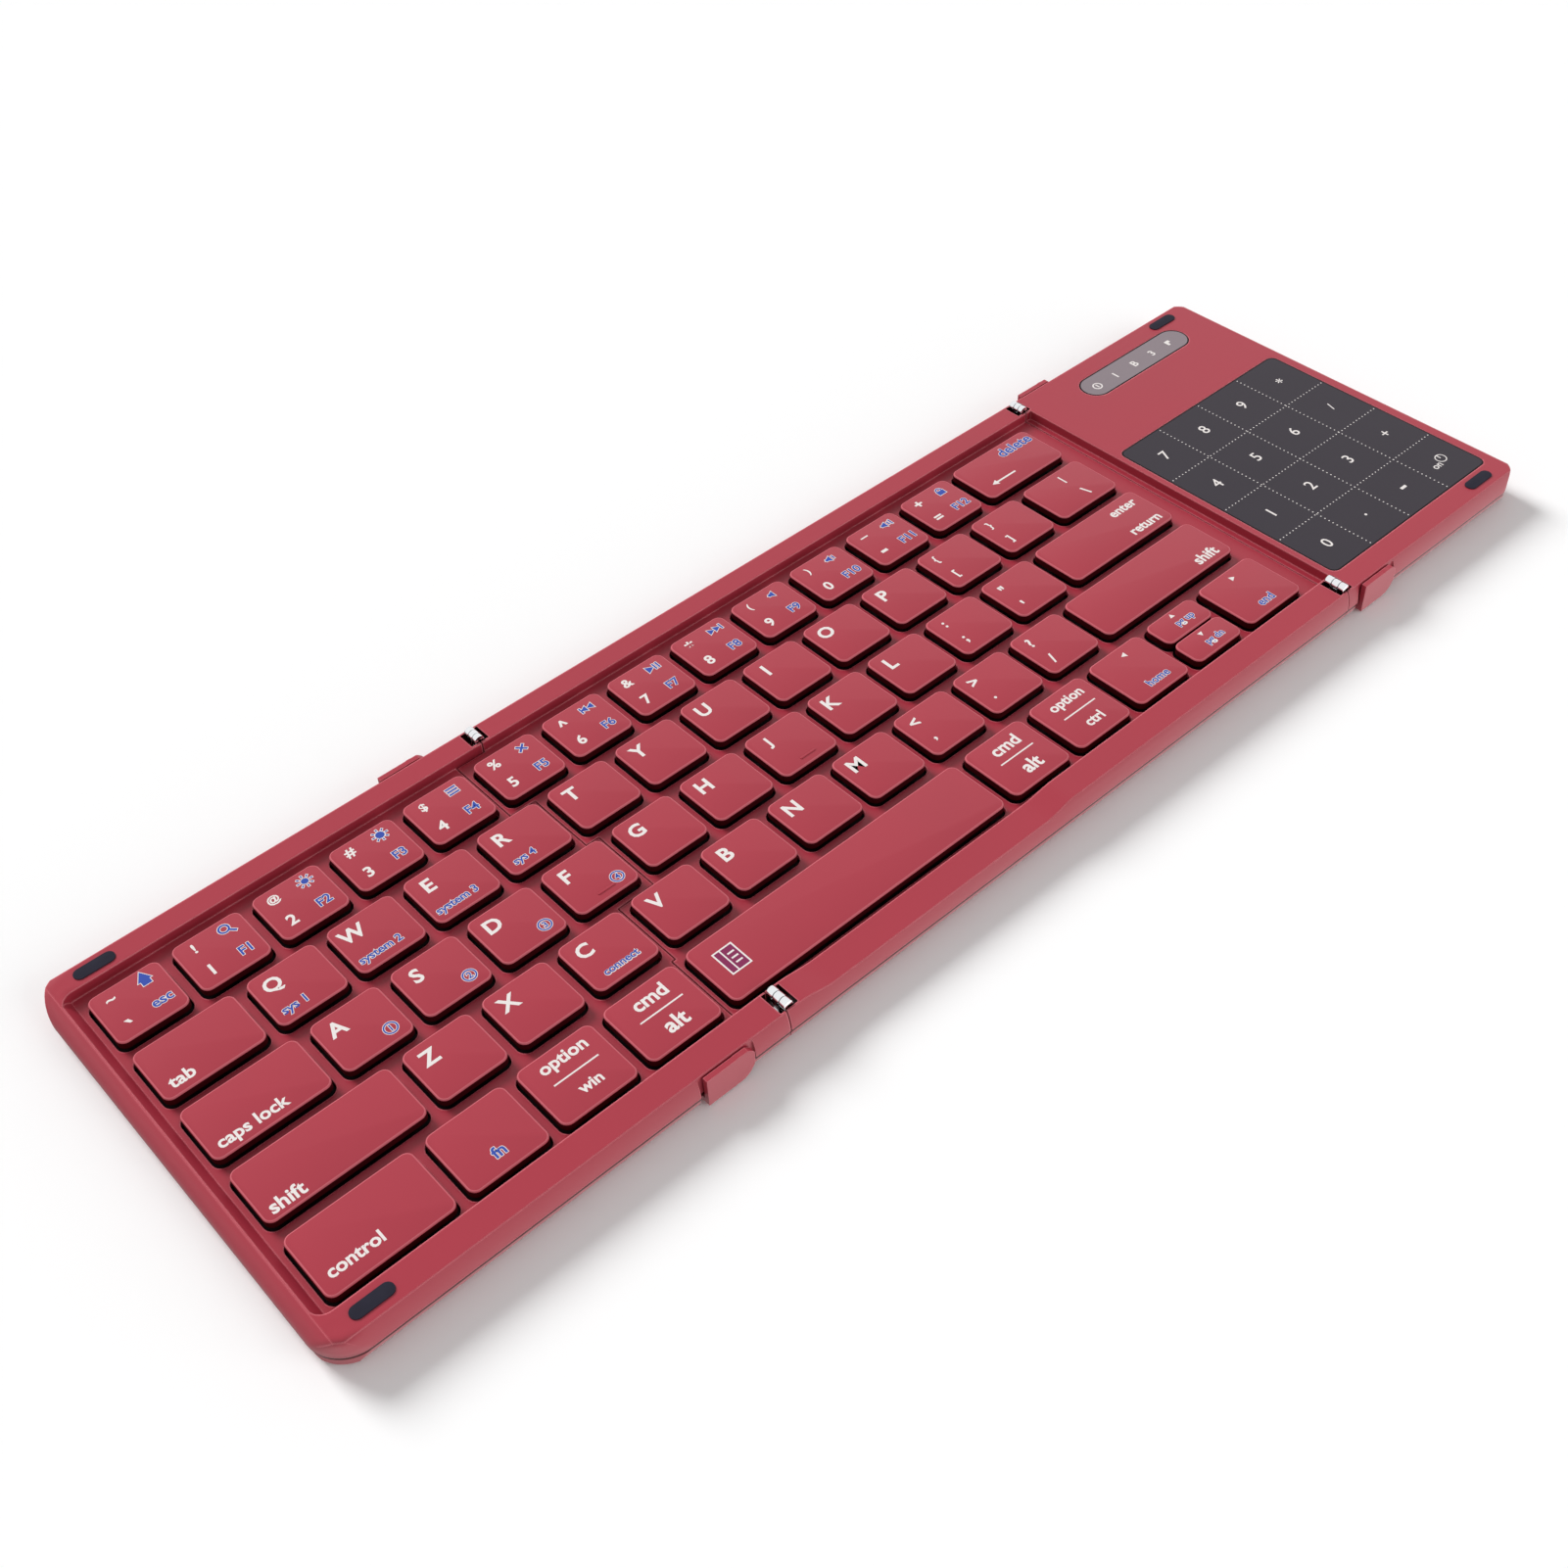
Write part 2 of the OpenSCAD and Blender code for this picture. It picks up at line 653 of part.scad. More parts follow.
// Steel plate under the keys, with a collar around each stem
module key_plate(panel, keys) {
    color(STEEL) difference() {
        union() {
            translate([0, 0, plate_top - plate_t]) linear_extrude(plate_t) intersection() {
                panel_plan(panel, wall + 0.3, 1.5);
                translate([-far / 2, well_front]) square([far, well_back - well_front]);
            }
            for (k = keys) for (p = stems(k)) translate([p[0], p[1], plate_top - eps])
                cylinder(r = stem_r + stem_fit + collar_wall, h = collar_z - plate_top);
        }
        for (k = keys) for (p = stems(k)) translate([p[0], p[1], plate_top - 1])
            cylinder(r = stem_r + stem_fit, h = collar_z - plate_top + 2);
    }
}

module left_key_plate() { key_plate("left", left_keys); }
module center_key_plate() { key_plate("center", center_keys); }

// ---- hinges ----

// Knuckle n of three in a barrel from y0 to y1
function knuckle(y0, y1, n) =
    let (l = (y1 - y0 - 2 * knuckle_gap) / 3) [y0 + n * (l + knuckle_gap), l];

// One leaf at the station between y0 and y1; s is its side of the fold,
// arm_y and arm_d are the middle and the width of the arm in the rim's channel
module leaf(fold, s, y0, y1, arm_y, arm_d, knuckles) {
    neck = [0.3, barrel_r];
    translate([fold, 0, 0]) difference() {
        union() {
            for (n = knuckles) {
                k = knuckle(y0, y1, n);
                translate([0, k[0], axis_z]) rotate([-90, 0, 0]) cylinder(r = barrel_r, h = k[1]);
                translate([s > 0 ? neck[0] : -neck[1], k[0], leaf_z])
                    cube([neck[1] - neck[0], k[1], axis_z - leaf_z]);
            }
            translate([s > 0 ? neck[0] : -neck[1], y0, leaf_z])
                cube([neck[1] - neck[0], y1 - y0, leaf_t]);
            translate([s > 0 ? neck[0] : -leaf_l, arm_y - arm_d / 2, leaf_z])
                cube([leaf_l - neck[0], arm_d, leaf_t]);
        }
        translate([0, y0 - 1, axis_z]) rotate([-90, 0, 0])
            cylinder(r = pin_r + pin_fit, h = y1 - y0 + 2);
    }
}

// Both leaves of one panel on one fold line
module leaves(fold, s, knuckles) {
    color(CHROME) {
        leaf(fold, s, -front_barrel[0], -front_barrel[1],
            -(inner_y + front_rim_inner()) / 2, 3.4, knuckles);
        leaf(fold, s, back_barrel[1], back_barrel[0],
            (inner_y + back_rim_inner()) / 2, 3.0, knuckles);
    }
}

module center_hinge_leaves() {
    leaves(fold_1, 1, [0, 2]);
    leaves(fold_2, -1, [0, 2]);
}

module left_hinge_leaves() { leaves(fold_1, -1, [1]); }
module right_hinge_leaves() { leaves(fold_2, 1, [1]); }

module hinge_pins() {
    color(CHROME) for (fold = [fold_1, fold_2])
        for (y = [[-front_barrel[0], -front_barrel[1]], [back_barrel[1], back_barrel[0]]])
            translate([fold, y[0], axis_z]) rotate([-90, 0, 0]) cylinder(r = pin_r, h = y[1] - y[0]);
}

// ---- stands ----

// A flip-out foot: a bar under the panel with an ear on each wall
module stand(x) {
    top = ear_top - pivot_z;
    color(CASE) translate([x, 0, pivot_z]) difference() {
        union() {
            for (s = [-1, 1]) translate([0, s * (ear_y + ear_t / 2), 0])
                rotate([90, 0, 0]) linear_extrude(ear_t, center = true) {
                    translate([-stand_reach, -stand_r]) square([stand_reach, stand_r + top]);
                    circle(stand_r);
                    intersection() {
                        square([stand_r, top]);
                        circle(notch_right - clear);
                    }
                }
            translate([-stand_reach, -ear_out, -stand_r]) cube([bar_w, 2 * ear_out, bar_t]);
        }
        for (s = [-1, 1]) translate([0, s * (ear_y - 1), 0])
            rotate([-s * 90, 0, 0]) cylinder(r = boss_r + 0.05, h = ear_t + 0.6);
    }
}

module left_stand() { stand(stand_x1); }
module right_stand() { stand(stand_x2); }

// ---- right panel's parts ----

module touch_glass() {
    color(GLASS) translate([pad_x, pad_y, rim_z - glass_t]) linear_extrude(glass_t)
        round_rect(pad_w, pad_d, pad_r);
}

module indicator_window() {
    color([0.58, 0.57, 0.60]) translate([window_x, window_y, rim_z - glass_t])
        linear_extrude(glass_t) stadium(window_w, window_d);
}

module touch_board() {
    color(BOARD) translate([pad_x - pad_w / 2 + 3, pad_y - pad_d / 2 + 2, right_ceiling - board_t])
        cube([pad_w - 6, pad_d - 4, board_t]);
}

module battery() {
    color(STEEL) translate([stand_x2 + notch_right + 3, -side_y + 12, floor_z])
        linear_extrude(battery_t) translate([battery_w, battery_d] / 2)
            round_rect(battery_w, battery_d, battery_t / 2);
}

module main_board() {
    color(BOARD) translate([stand_x2 + notch_right + 3, inner_y - clear - board_d, floor_z])
        linear_extrude(board_z + board_t - floor_z) square([board_w, board_d]);
}

module charge_port() {
    hole = [port[0] - 0.6, port[2] - 0.6];
    color(CHROME) translate([port_x, side_y - 0.6 - port[1], board_z + board_t])
        difference() {
            translate([-port[0] / 2, 0, 0]) cube(port);
            translate([-hole[0] / 2, 1, 0.3]) cube([hole[0], port[1], hole[1]]);
        }
}

// ---- rubber ----

module feet(spots) {
    color(RUBBER) for (p = spots) translate([p[0], p[1], 0])
        linear_extrude(foot_h) stadium(foot_w, foot_d);
}

foot_y = side_y - 8;
module center_feet() {
    feet([for (x = [fold_1 + 14, fold_2 - 14]) for (y = [-foot_y, foot_y]) [x, y]]);
}
module left_feet() { feet([for (y = [-foot_y, foot_y]) [left_end + 20, y]]); }
module right_feet() { feet([for (y = [-foot_y, foot_y]) [right_end - 16, y]]); }

module bumpers(spots) {
    color(RUBBER) for (p = spots) translate([p[0], p[1], rim_z])
        linear_extrude(bumper_rise) stadium(bumper_w, bumper_d);
}

rim_back_y = (well_back + side_y - side_lean) / 2;
rim_front_y = (well_front - side_y + side_lean) / 2;
module left_bumpers() {
    bumpers([[left_end + 12.2, rim_back_y], [left_end + 11.7, rim_front_y]]);
}
module right_bumpers() {
    bumpers([[right_end - 10.5, rim_back_y], [right_end - 11, rim_front_y]]);
}

// ---- parts ----

center_bottom_shell();
center_deck();
center_key_plate();
center_hinge_leaves();
hinge_pins();
center_feet();
left_bottom_shell();
left_deck();
left_key_plate();
left_hinge_leaves();
left_bumpers();
left_feet();
left_stand();
right_bottom_shell();
right_top_shell();
touch_glass();
touch_board();
indicator_window();
battery();
main_board();
charge_port();
right_hinge_leaves();
right_bumpers();
right_feet();
right_stand();

keycap(unit_key(1, 0));  // key_q
keycap(unit_key(1, 1));  // key_w
keycap(unit_key(1, 2));  // key_e
keycap(unit_key(1, 3));  // key_r
keycap(unit_key(1, 4));  // key_t
keycap(unit_key(1, 5));  // key_y
keycap(unit_key(1, 6));  // key_u
keycap(unit_key(1, 7));  // key_i
keycap(unit_key(1, 8));  // key_o
keycap(unit_key(1, 9));  // key_p
keycap(unit_key(2, 0));  // key_a
keycap(unit_key(2, 1));  // key_s
keycap(unit_key(2, 2));  // key_d
keycap(unit_key(2, 3), bar = true);  // key_f
keycap(unit_key(2, 4));  // key_g
keycap(unit_key(2, 5));  // key_h
keycap(unit_key(2, 6), bar = true);  // key_j
keycap(unit_key(2, 7));  // key_k
keycap(unit_key(2, 8));  // key_l
keycap(unit_key(3, 0));  // key_z
keycap(unit_key(3, 1));  // key_x
keycap(unit_key(3, 2));  // key_c
keycap(unit_key(3, 3));  // key_v
keycap(unit_key(3, 4));  // key_b
keycap(unit_key(3, 5));  // key_n
keycap(unit_key(3, 6));  // key_m
keycap(lead_key(1));  // key_tab
keycap(front_key(4));  // key_space
keycap(tail_key(2));  // key_enter
keycap(tail_key(0));  // key_backspace
keycaps([for (i = [0:4]) unit_key(0, i)]);  // keys_numbers_left
keycaps([for (i = [5:12]) unit_key(0, i)]);  // keys_numbers_center
keycaps([unit_key(1, 10), unit_key(1, 11), tail_key(1), unit_key(2, 9), unit_key(2, 10),  // keys_punctuation
        unit_key(3, 7), unit_key(3, 8), unit_key(3, 9)]);
keycaps([lead_key(2), lead_key(3), for (i = [0:3]) front_key(i)]);  // keys_modifiers_left
keycaps([tail_key(3), for (i = [5:7]) front_key(i), half_key(1), half_key(-1), last_key()]);  // keys_modifiers_right
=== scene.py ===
# %% [markdown]
# # A tri-fold keyboard and its finishes
# The solids of this keyboard come ready made from the CAD frame: three thin panels, their hinges,
# stands, feet and key plates. Blender's share is what the eye reads: rounded key caps with their
# print, the touch pad, chrome barrels, rubber, and a finish on every surface. Most sizes are
# written in millimetres, and `mm` turns them into metres.

# %% Load the frame
import json
import math

import bmesh
import bpy
from mathutils import Matrix, Vector


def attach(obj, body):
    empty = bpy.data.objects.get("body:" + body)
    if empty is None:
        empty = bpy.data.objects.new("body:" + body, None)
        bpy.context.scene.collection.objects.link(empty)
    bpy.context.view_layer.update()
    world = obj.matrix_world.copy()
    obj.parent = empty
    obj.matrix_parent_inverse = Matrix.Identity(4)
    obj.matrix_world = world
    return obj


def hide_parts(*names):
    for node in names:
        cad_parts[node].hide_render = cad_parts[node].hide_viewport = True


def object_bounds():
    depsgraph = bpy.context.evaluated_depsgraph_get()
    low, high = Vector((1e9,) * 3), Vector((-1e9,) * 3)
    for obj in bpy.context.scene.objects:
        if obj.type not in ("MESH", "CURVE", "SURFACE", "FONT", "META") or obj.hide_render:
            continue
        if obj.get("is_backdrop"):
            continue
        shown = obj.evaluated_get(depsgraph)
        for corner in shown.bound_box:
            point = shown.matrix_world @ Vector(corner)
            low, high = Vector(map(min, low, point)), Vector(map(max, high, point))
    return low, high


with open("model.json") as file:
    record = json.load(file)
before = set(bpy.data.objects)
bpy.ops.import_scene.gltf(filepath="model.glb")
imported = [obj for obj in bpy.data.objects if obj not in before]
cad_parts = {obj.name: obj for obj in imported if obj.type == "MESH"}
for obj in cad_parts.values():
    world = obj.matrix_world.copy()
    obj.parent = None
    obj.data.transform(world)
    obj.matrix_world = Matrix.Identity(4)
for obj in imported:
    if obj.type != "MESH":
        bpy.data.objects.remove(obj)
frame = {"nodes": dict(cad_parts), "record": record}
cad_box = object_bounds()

MM = 0.001


def mm(*values):
    """Millimetres as the metres that Blender takes."""
    return tuple(value * MM for value in values)


def in_mm(points):
    """Points in metres as rounded millimetres, to print."""
    return [[round(value / MM, 2) for value in point] for point in points]


print("case box in mm:", in_mm(cad_box))

# %% [markdown]
# ## Camera
# The camera stands in front and to the left, a little over 400 mm away, and looks down at 45
# degrees. It could be turned by hand until the view seems right, but a lens, a place and three
# axes that are written down give the same view each time. It comes first, so that everything made
# later can be judged through it.

# %% Camera
SENSOR_WIDTH, LENS = 36.0, 43.82    # both in millimetres
CAMERA_AT = (-0.20417, -0.22037, 0.29104)
# The camera's own right, up and back
CAMERA_AXES = ((0.74222, -0.66885, -0.04194), (0.50165, 0.51300, 0.69655),
               (-0.44437, -0.53803, 0.71628))


def in_scene(name, data):
    """A new object that shows this camera, lamp or mesh."""
    made = bpy.data.objects.new(name, data)
    bpy.context.scene.collection.objects.link(made)
    return made


def add_camera():
    data = bpy.data.cameras.new("camera")
    data.sensor_fit = "HORIZONTAL"
    data.sensor_width, data.lens, data.clip_start = SENSOR_WIDTH, LENS, 0.01
    camera = bpy.context.scene.camera = in_scene("camera", data)
    turn = Matrix(CAMERA_AXES).transposed()
    camera.matrix_world = Matrix.Translation(CAMERA_AT) @ turn.to_4x4()
    return camera


camera = add_camera()
print("camera at", *in_mm([camera.matrix_world.translation]), "mm")

# %% [markdown]
# ## Writing materials as sums
# A finish could be wired up link by link, but it is easier to read as a sum. `Wire` wraps one
# output of a node and gives it Python's operators, the `node` method of `Nodes` adds any other
# node, and `Paint` is one material with a Principled shader.

# %% Wire
class Wire:
    """One output of a node. Sums and products of wires add their Math nodes."""

    def __init__(self, nodes, output):
        self.nodes, self.output = nodes, output

    def math(self, operation, *values):
        return self.nodes.node("ShaderNodeMath", {"operation": operation}, self, *values)

    def __add__(self, other):
        return self.math("ADD", other)

    def __sub__(self, other):
        return self.math("SUBTRACT", other)

    def __rsub__(self, other):
        return self.nodes.node("ShaderNodeMath", {"operation": "SUBTRACT"}, other, self)

    def __mul__(self, other):
        return self.math("MULTIPLY", other)

    __radd__, __rmul__ = __add__, __mul__

    def near(self, middle, reach):
        """1 within a reach of a value, 0 beyond it."""
        return self.math("COMPARE", middle, reach)

    def step(self, low, high):
        """0 below low, 1 above high and a soft turn between them."""
        settings = {"interpolation_type": "SMOOTHSTEP"}
        return self.nodes.node("ShaderNodeMapRange", settings, self, low, high, 0.0, 1.0)


print("wires add, take away and multiply")

# %% Nodes and Paint
class Nodes:
    """A tree of nodes whose sockets take numbers, colours or wires."""

    def __init__(self, tree):
        self.tree = tree

    def feed(self, socket, value):
        if isinstance(value, Wire):
            self.tree.links.new(value.output, socket)
        elif hasattr(value, "__len__") and len(value) == 3 and socket.type == "RGBA":
            socket.default_value = (*value, 1.0)
        else:
            socket.default_value = value

    def node(self, kind, settings, *values, output=0, **named):
        made = self.tree.nodes.new(kind)
        for name, value in settings.items():
            setattr(made, name, value)
        for socket, value in zip(made.inputs, values):
            self.feed(socket, value)
        for name, value in named.items():
            self.feed(made.inputs[name.replace("_", " ")], value)
        return Wire(self, made.outputs[output])


class Paint(Nodes):
    """One material with a Principled shader."""

    def __init__(self, name, **sockets):
        self.material = bpy.data.materials.new(name)
        self.material.use_nodes = True
        super().__init__(self.material.node_tree)
        self.shader = self.tree.nodes["Principled BSDF"]
        self.set(**sockets)

    def set(self, **sockets):
        for name, value in sockets.items():
            self.feed(self.shader.inputs[name.replace("_", " ")], value)
        return self.material

    def place(self, axis=None):
        """Object coordinates, or one of them."""
        spot = self.node("ShaderNodeTexCoord", {}, output="Object")
        return spot if axis is None else self.node("ShaderNodeSeparateXYZ", {}, spot, output=axis)

    def noise(self, size, detail=2.0):
        """Cloudy noise from 0 to 1, with lumps of about this size in millimetres."""
        return self.node("ShaderNodeTexNoise", {}, output="Fac", Vector=self.place(),
                         Scale=1 / (size * MM), Detail=detail)

    def mix(self, factor, one, other):
        """A colour between two colours."""
        made = self.tree.nodes.new("ShaderNodeMix")
        made.data_type = "RGBA"
        for socket, value in ((0, factor), (6, one), (7, other)):
            self.feed(made.inputs[socket], value)
        return Wire(self, made.outputs[2])

    def bump(self, height, depth, under=None):
        """A normal that rises by depth millimetres where height goes from 0 to 1."""
        extra = {} if under is None else {"Normal": under}
        return self.node("ShaderNodeBump", {}, Strength=1.0, Distance=depth * MM, Height=height,
                         **extra)


def shade(colour, by):
    """A colour made lighter or darker by a share."""
    return tuple(min(1.0, channel * (1 + by)) for channel in colour)


print("paint box ready")

# %% [markdown]
# ## The red plastic
# The case is one colour of moulded plastic with a fine satin skin. Real moulded panels are never
# quite even: the colour clouds by a per cent or two, the skin has a grain of a few hundredths of a
# millimetre, and the polish wanders. Edges are broken by a tiny radius, which the Bevel node gives
# to the CAD's sharp solids, and a painted highlight makes the plastic paler along them. Towards
# the left end the walls flow into each other, so there a much wider radius takes over. The pockets
# round the hinge barrels and the seam between the two shells are painted dark, a painted shade for
# where light hardly gets in.

# %% Masks for the case
LEFT_FOLD, RIGHT_FOLD, LEFT_END = -66.6, 102.8, -169.0
SEAM_Z, RIM_Z = 3.0, 8.0
BACK_BARREL_Y, FRONT_BARREL_Y = 49.25, -48.7


def pocket_and_seam_shade(paint):
    """Painted shade: 1 inside the four pockets that the hinge barrels lie in, and on the edge
    along the seam.
    """
    x, y, z = (paint.place(axis) for axis in "XYZ")
    at_a_fold = x.near(*mm(LEFT_FOLD, 2.3)) + x.near(*mm(RIGHT_FOLD, 2.3))
    in_a_rim = y.near(*mm(FRONT_BARREL_Y, 2.9)) + y.near(*mm(BACK_BARREL_Y, 2.4))
    pocket = at_a_fold * in_a_rim * z.near(*mm(0.0, RIM_Z - 0.07))
    return pocket.math("MAXIMUM", z.near(*mm(SEAM_Z, 0.14)))


def seam_shade_band(paint):
    """Painted shade: 1 at the top of a lower shell, under the upper shell's edge, 0 below."""
    return paint.place("Z").step(*mm(SEAM_Z - 0.90, SEAM_Z - 0.75))


def rounded_end(paint):
    """1 on the outside of the left end and its corners, 0 elsewhere."""
    x, y = paint.place("X"), paint.place("Y")
    end = 1.0 - x.step(*mm(LEFT_END + 1.7, LEFT_END + 2.7))
    beside = 1.0 - x.step(*mm(LEFT_END + 4.5, LEFT_END + 9.0))
    corner = beside * (y * y).step(2.1e-3, 2.3e-3)    # 46 to 48 mm off the middle, squared
    return end.math("MAXIMUM", corner)


print("the folds are", round(RIGHT_FOLD - LEFT_FOLD, 1), "mm apart")

# %% Case plastic
RED = (0.372, 0.029, 0.050)
DEEP_RED = (0.330, 0.045, 0.060)
SHADOW_RED = (0.060, 0.002, 0.004)
# The pale red below is a painted highlight laid along the case's edges.
EDGE_HIGHLIGHT_RED = (0.820, 0.230, 0.270)
CASE_EDGE, LOWER_EDGE, STAND_EDGE, WIDE_EDGE = mm(0.55, 0.18, 0.24, 2.6)


def moulded(name, colour, roughness, edge_radius, grain=1.0, dark=None, wide=None):
    """Moulded plastic with a painted edge highlight. The masks say where shade is painted and
    where its edge is wide.
    """
    paint = Paint(name, IOR=1.5)
    cloud = paint.noise(30, detail=3.0)
    fine = paint.noise(0.22, detail=1.0)
    rounded = paint.node("ShaderNodeBevel", {"samples": 4}, Radius=edge_radius)
    body = paint.mix(cloud, shade(colour, -0.05), shade(colour, 0.05))
    true = paint.node("ShaderNodeNewGeometry", {}, output="True Normal")
    facing = paint.node("ShaderNodeVectorMath", {"operation": "DOT_PRODUCT"}, rounded, true,
                        output="Value")
    edge = (1.0 - facing).step(0.01, 0.12)
    # Painted highlight: near an edge the colour is mixed towards the pale red.
    body = paint.mix(edge * 0.8, body, EDGE_HIGHLIGHT_RED)
    if wide:
        softer = paint.node("ShaderNodeBevel", {"samples": 8}, Radius=WIDE_EDGE)
        rounded = paint.mix(wide(paint), rounded, softer)
    # Painted shade: where the mask is 1 the colour goes to near black red, and Metallic 1 keeps
    # white reflections off it.
    if dark:
        unlit = dark(paint)
        body = paint.mix(unlit, body, SHADOW_RED)
        paint.set(Metallic=unlit)
    return paint.set(Base_Color=body,
                     Roughness=roughness + (cloud - 0.5) * 0.10 + (fine - 0.5) * 0.06,
                     Normal=paint.bump(fine, 0.004 * grain, under=rounded))


case_red = moulded("case_red", RED, 0.42, CASE_EDGE, dark=pocket_and_seam_shade)
end_red = moulded("left_case_red", RED, 0.42, CASE_EDGE, dark=pocket_and_seam_shade, wide=rounded_end)
# The lower shell carries a painted shade band just under the seam.
lower_red = moulded("lower_case_red", DEEP_RED, 0.46, LOWER_EDGE, grain=1.6, dark=seam_shade_band)
stand_red = moulded("stand_red", RED, 0.44, STAND_EDGE)
print("made", case_red.name, end_red.name, lower_red.name, stand_red.name)

# %% [markdown]
# ## Metals, rubber and boards
# The hinge barrels are bright plated steel, the key plates are rolled sheet with a black coat, and
# the charging socket is drawn steel. Rubber is near black and dull with a fine tooth. Inside are a
# green lacquered board and a cell in a foil pouch. Image textures could be laid on them, but noise
# has no seams and suits any size: coarse for clouds, fine for the tooth.

# %% Metals, rubber and boards
def plated(name, colour, roughness, scratch):
    paint = Paint(name, Metallic=1.0)
    cloud = paint.noise(4, detail=3.0)
    fine = paint.noise(0.12)
    return paint.set(Base_Color=paint.mix(cloud, shade(colour, -0.06), colour),
                     Roughness=roughness + cloud * 0.08 + fine * scratch,
                     Normal=paint.bump(fine, 0.002))


def rubbery(name, colour):
    paint = Paint(name, IOR=1.5, Specular_IOR_Level=0.25)
    tooth = paint.noise(0.18, detail=3.0)
    cloud = paint.noise(3)
    return paint.set(Base_Color=paint.mix(cloud, shade(colour, -0.2), shade(colour, 0.3)),
                     Roughness=0.72 + tooth * 0.15, Normal=paint.bump(tooth, 0.02))


def black_coated(name, colour):
    """Rolled sheet under a thin black coat, which keeps a trace of the rolling lines."""
    paint = Paint(name, IOR=1.5, Specular_IOR_Level=0.15)
    stretched = paint.node("ShaderNodeMapping", {}, paint.place(), Scale=(40.0, 4000.0, 400.0))
    lines = paint.node("ShaderNodeTexNoise", {}, output="Fac", Vector=stretched, Scale=1.0,
                       Detail=3.0)
    return paint.set(Base_Color=paint.mix(lines, shade(colour, -0.3), shade(colour, 0.4)),
                     Roughness=0.55 + lines * 0.18, Normal=paint.bump(lines, 0.003))


def lacquered_board(name):
    paint = Paint(name, IOR=1.5)
    cells = paint.node("ShaderNodeTexBrick", {}, paint.place(), output="Fac", Scale=260.0,
                       Mortar_Size=0.03)
    cloud = paint.noise(6)
    green = paint.mix(cloud, (0.010, 0.075, 0.030), (0.016, 0.110, 0.045))
    return paint.set(Base_Color=paint.mix(cells, green, (0.35, 0.26, 0.08)),
                     Roughness=0.30 + cloud * 0.1, Normal=paint.bump(cells, 0.01))


chrome = plated("bright_chrome", (0.86, 0.87, 0.89), 0.07, 0.04)
socket_steel = plated("drawn_steel", (0.62, 0.63, 0.65), 0.22, 0.10)
foil = plated("foil_pouch", (0.74, 0.75, 0.77), 0.28, 0.20)
plate_steel = black_coated("black_plate", (0.010, 0.006, 0.007))
rubber = rubbery("dark_rubber", (0.018, 0.017, 0.028))
# Black plastic for the socket tongue; the same black is painted shade round the glass plates.
black_plastic_and_gap_shade = rubbery("black_plastic_and_gap_shade", (0.012, 0.011, 0.013))
board_green = lacquered_board("green_board")
print("made", chrome.name, plate_steel.name, rubber.name, board_green.name)

# %% [markdown]
# ## Key caps, print and touch surfaces
# A cap is red on top. Its sides are painted nearly black below the edge, a painted shade, and the
# faces round its edge are painted paler, a painted highlight. One finish with a mask could do, but
# the slope of each face already tells the three apart, so each gets a finish of its own. The print
# is white, with small blue marks for the second functions. The touch pad and the status window are
# satin glass.

# %% Cap, print and glass
def sprayed(name, colour, roughness, shine=0.5):
    paint = Paint(name, IOR=1.5, Specular_IOR_Level=shine)
    cloud = paint.noise(20, detail=3.0)
    fine = paint.noise(0.2, detail=1.0)
    return paint.set(Base_Color=paint.mix(cloud, shade(colour, -0.04), shade(colour, 0.05)),
                     Roughness=roughness + (cloud - 0.5) * 0.08,
                     Normal=paint.bump(fine, 0.003))


def ink(name, colour):
    paint = Paint(name, IOR=1.45, Specular_IOR_Level=0.3)
    speck = paint.noise(0.25)
    return paint.set(Base_Color=paint.mix(speck, shade(colour, -0.06), shade(colour, 0.03)),
                     Roughness=0.50 + speck * 0.12)


def satin_glass(name, colour, roughness, shine):
    paint = Paint(name, IOR=1.5, Specular_IOR_Level=shine)
    cloud = paint.noise(25)
    fine = paint.noise(0.15, detail=1.0)
    return paint.set(Base_Color=paint.mix(cloud, shade(colour, -0.06), shade(colour, 0.06)),
                     Roughness=roughness + fine * 0.08, Normal=paint.bump(fine, 0.0015))


cap_paint = sprayed("cap_top", RED, 0.40)
# Painted highlight: the faces round a cap's top edge are a paler red.
cap_edge = sprayed("cap_edge", (0.560, 0.110, 0.140), 0.34)
# Painted shade: the sides and stems of a cap are nearly black and barely shiny.
cap_side_shade = sprayed("cap_side_shade", (0.040, 0.002, 0.004), 0.55, shine=0.05)
white_ink = ink("white_ink", (0.84, 0.79, 0.77))
blue_ink = ink("blue_ink", (0.045, 0.085, 0.400))
violet_ink = ink("violet_ink", (0.230, 0.028, 0.095))
pad_glass = satin_glass("touch_glass_dark", (0.040, 0.034, 0.043), 0.38, 0.16)
window_glass = satin_glass("window_grey", (0.243, 0.198, 0.218), 0.30, 0.3)
print("made", cap_paint.name, white_ink.name, blue_ink.name, pad_glass.name)

# %% [markdown]
# ## Dressing the CAD solids
# A CAD solid whose shape is right could be modelled again, but nothing would be gained: it keeps
# its mesh and takes a finish. The table below gives every node its own, and those that a finer
# piece will stand for are dressed too.

# %% Finish of every CAD node
FINISH_OF_SLOT = {
    "case": case_red, "lower_case": lower_red, "keycap": cap_paint, "hinge": chrome,
    "rubber": rubber, "touch_surface": pad_glass, "indicator": window_glass,
    "plate": plate_steel, "cell": foil, "board": board_green, "port": socket_steel,
}
FINISH_OF_NODE = {"left_deck": end_red, "left_stand": stand_red, "right_stand": stand_red}
slot_of = {part["node"]: part["material_slot"] for part in frame["record"]["subparts"]}
for node_name, node in frame["nodes"].items():
    node.data.materials.clear()
    node.data.materials.append(FINISH_OF_NODE.get(node_name) or FINISH_OF_SLOT[slot_of[node_name]])
print("dressed", len(slot_of), "nodes in", len(FINISH_OF_SLOT), "finishes")

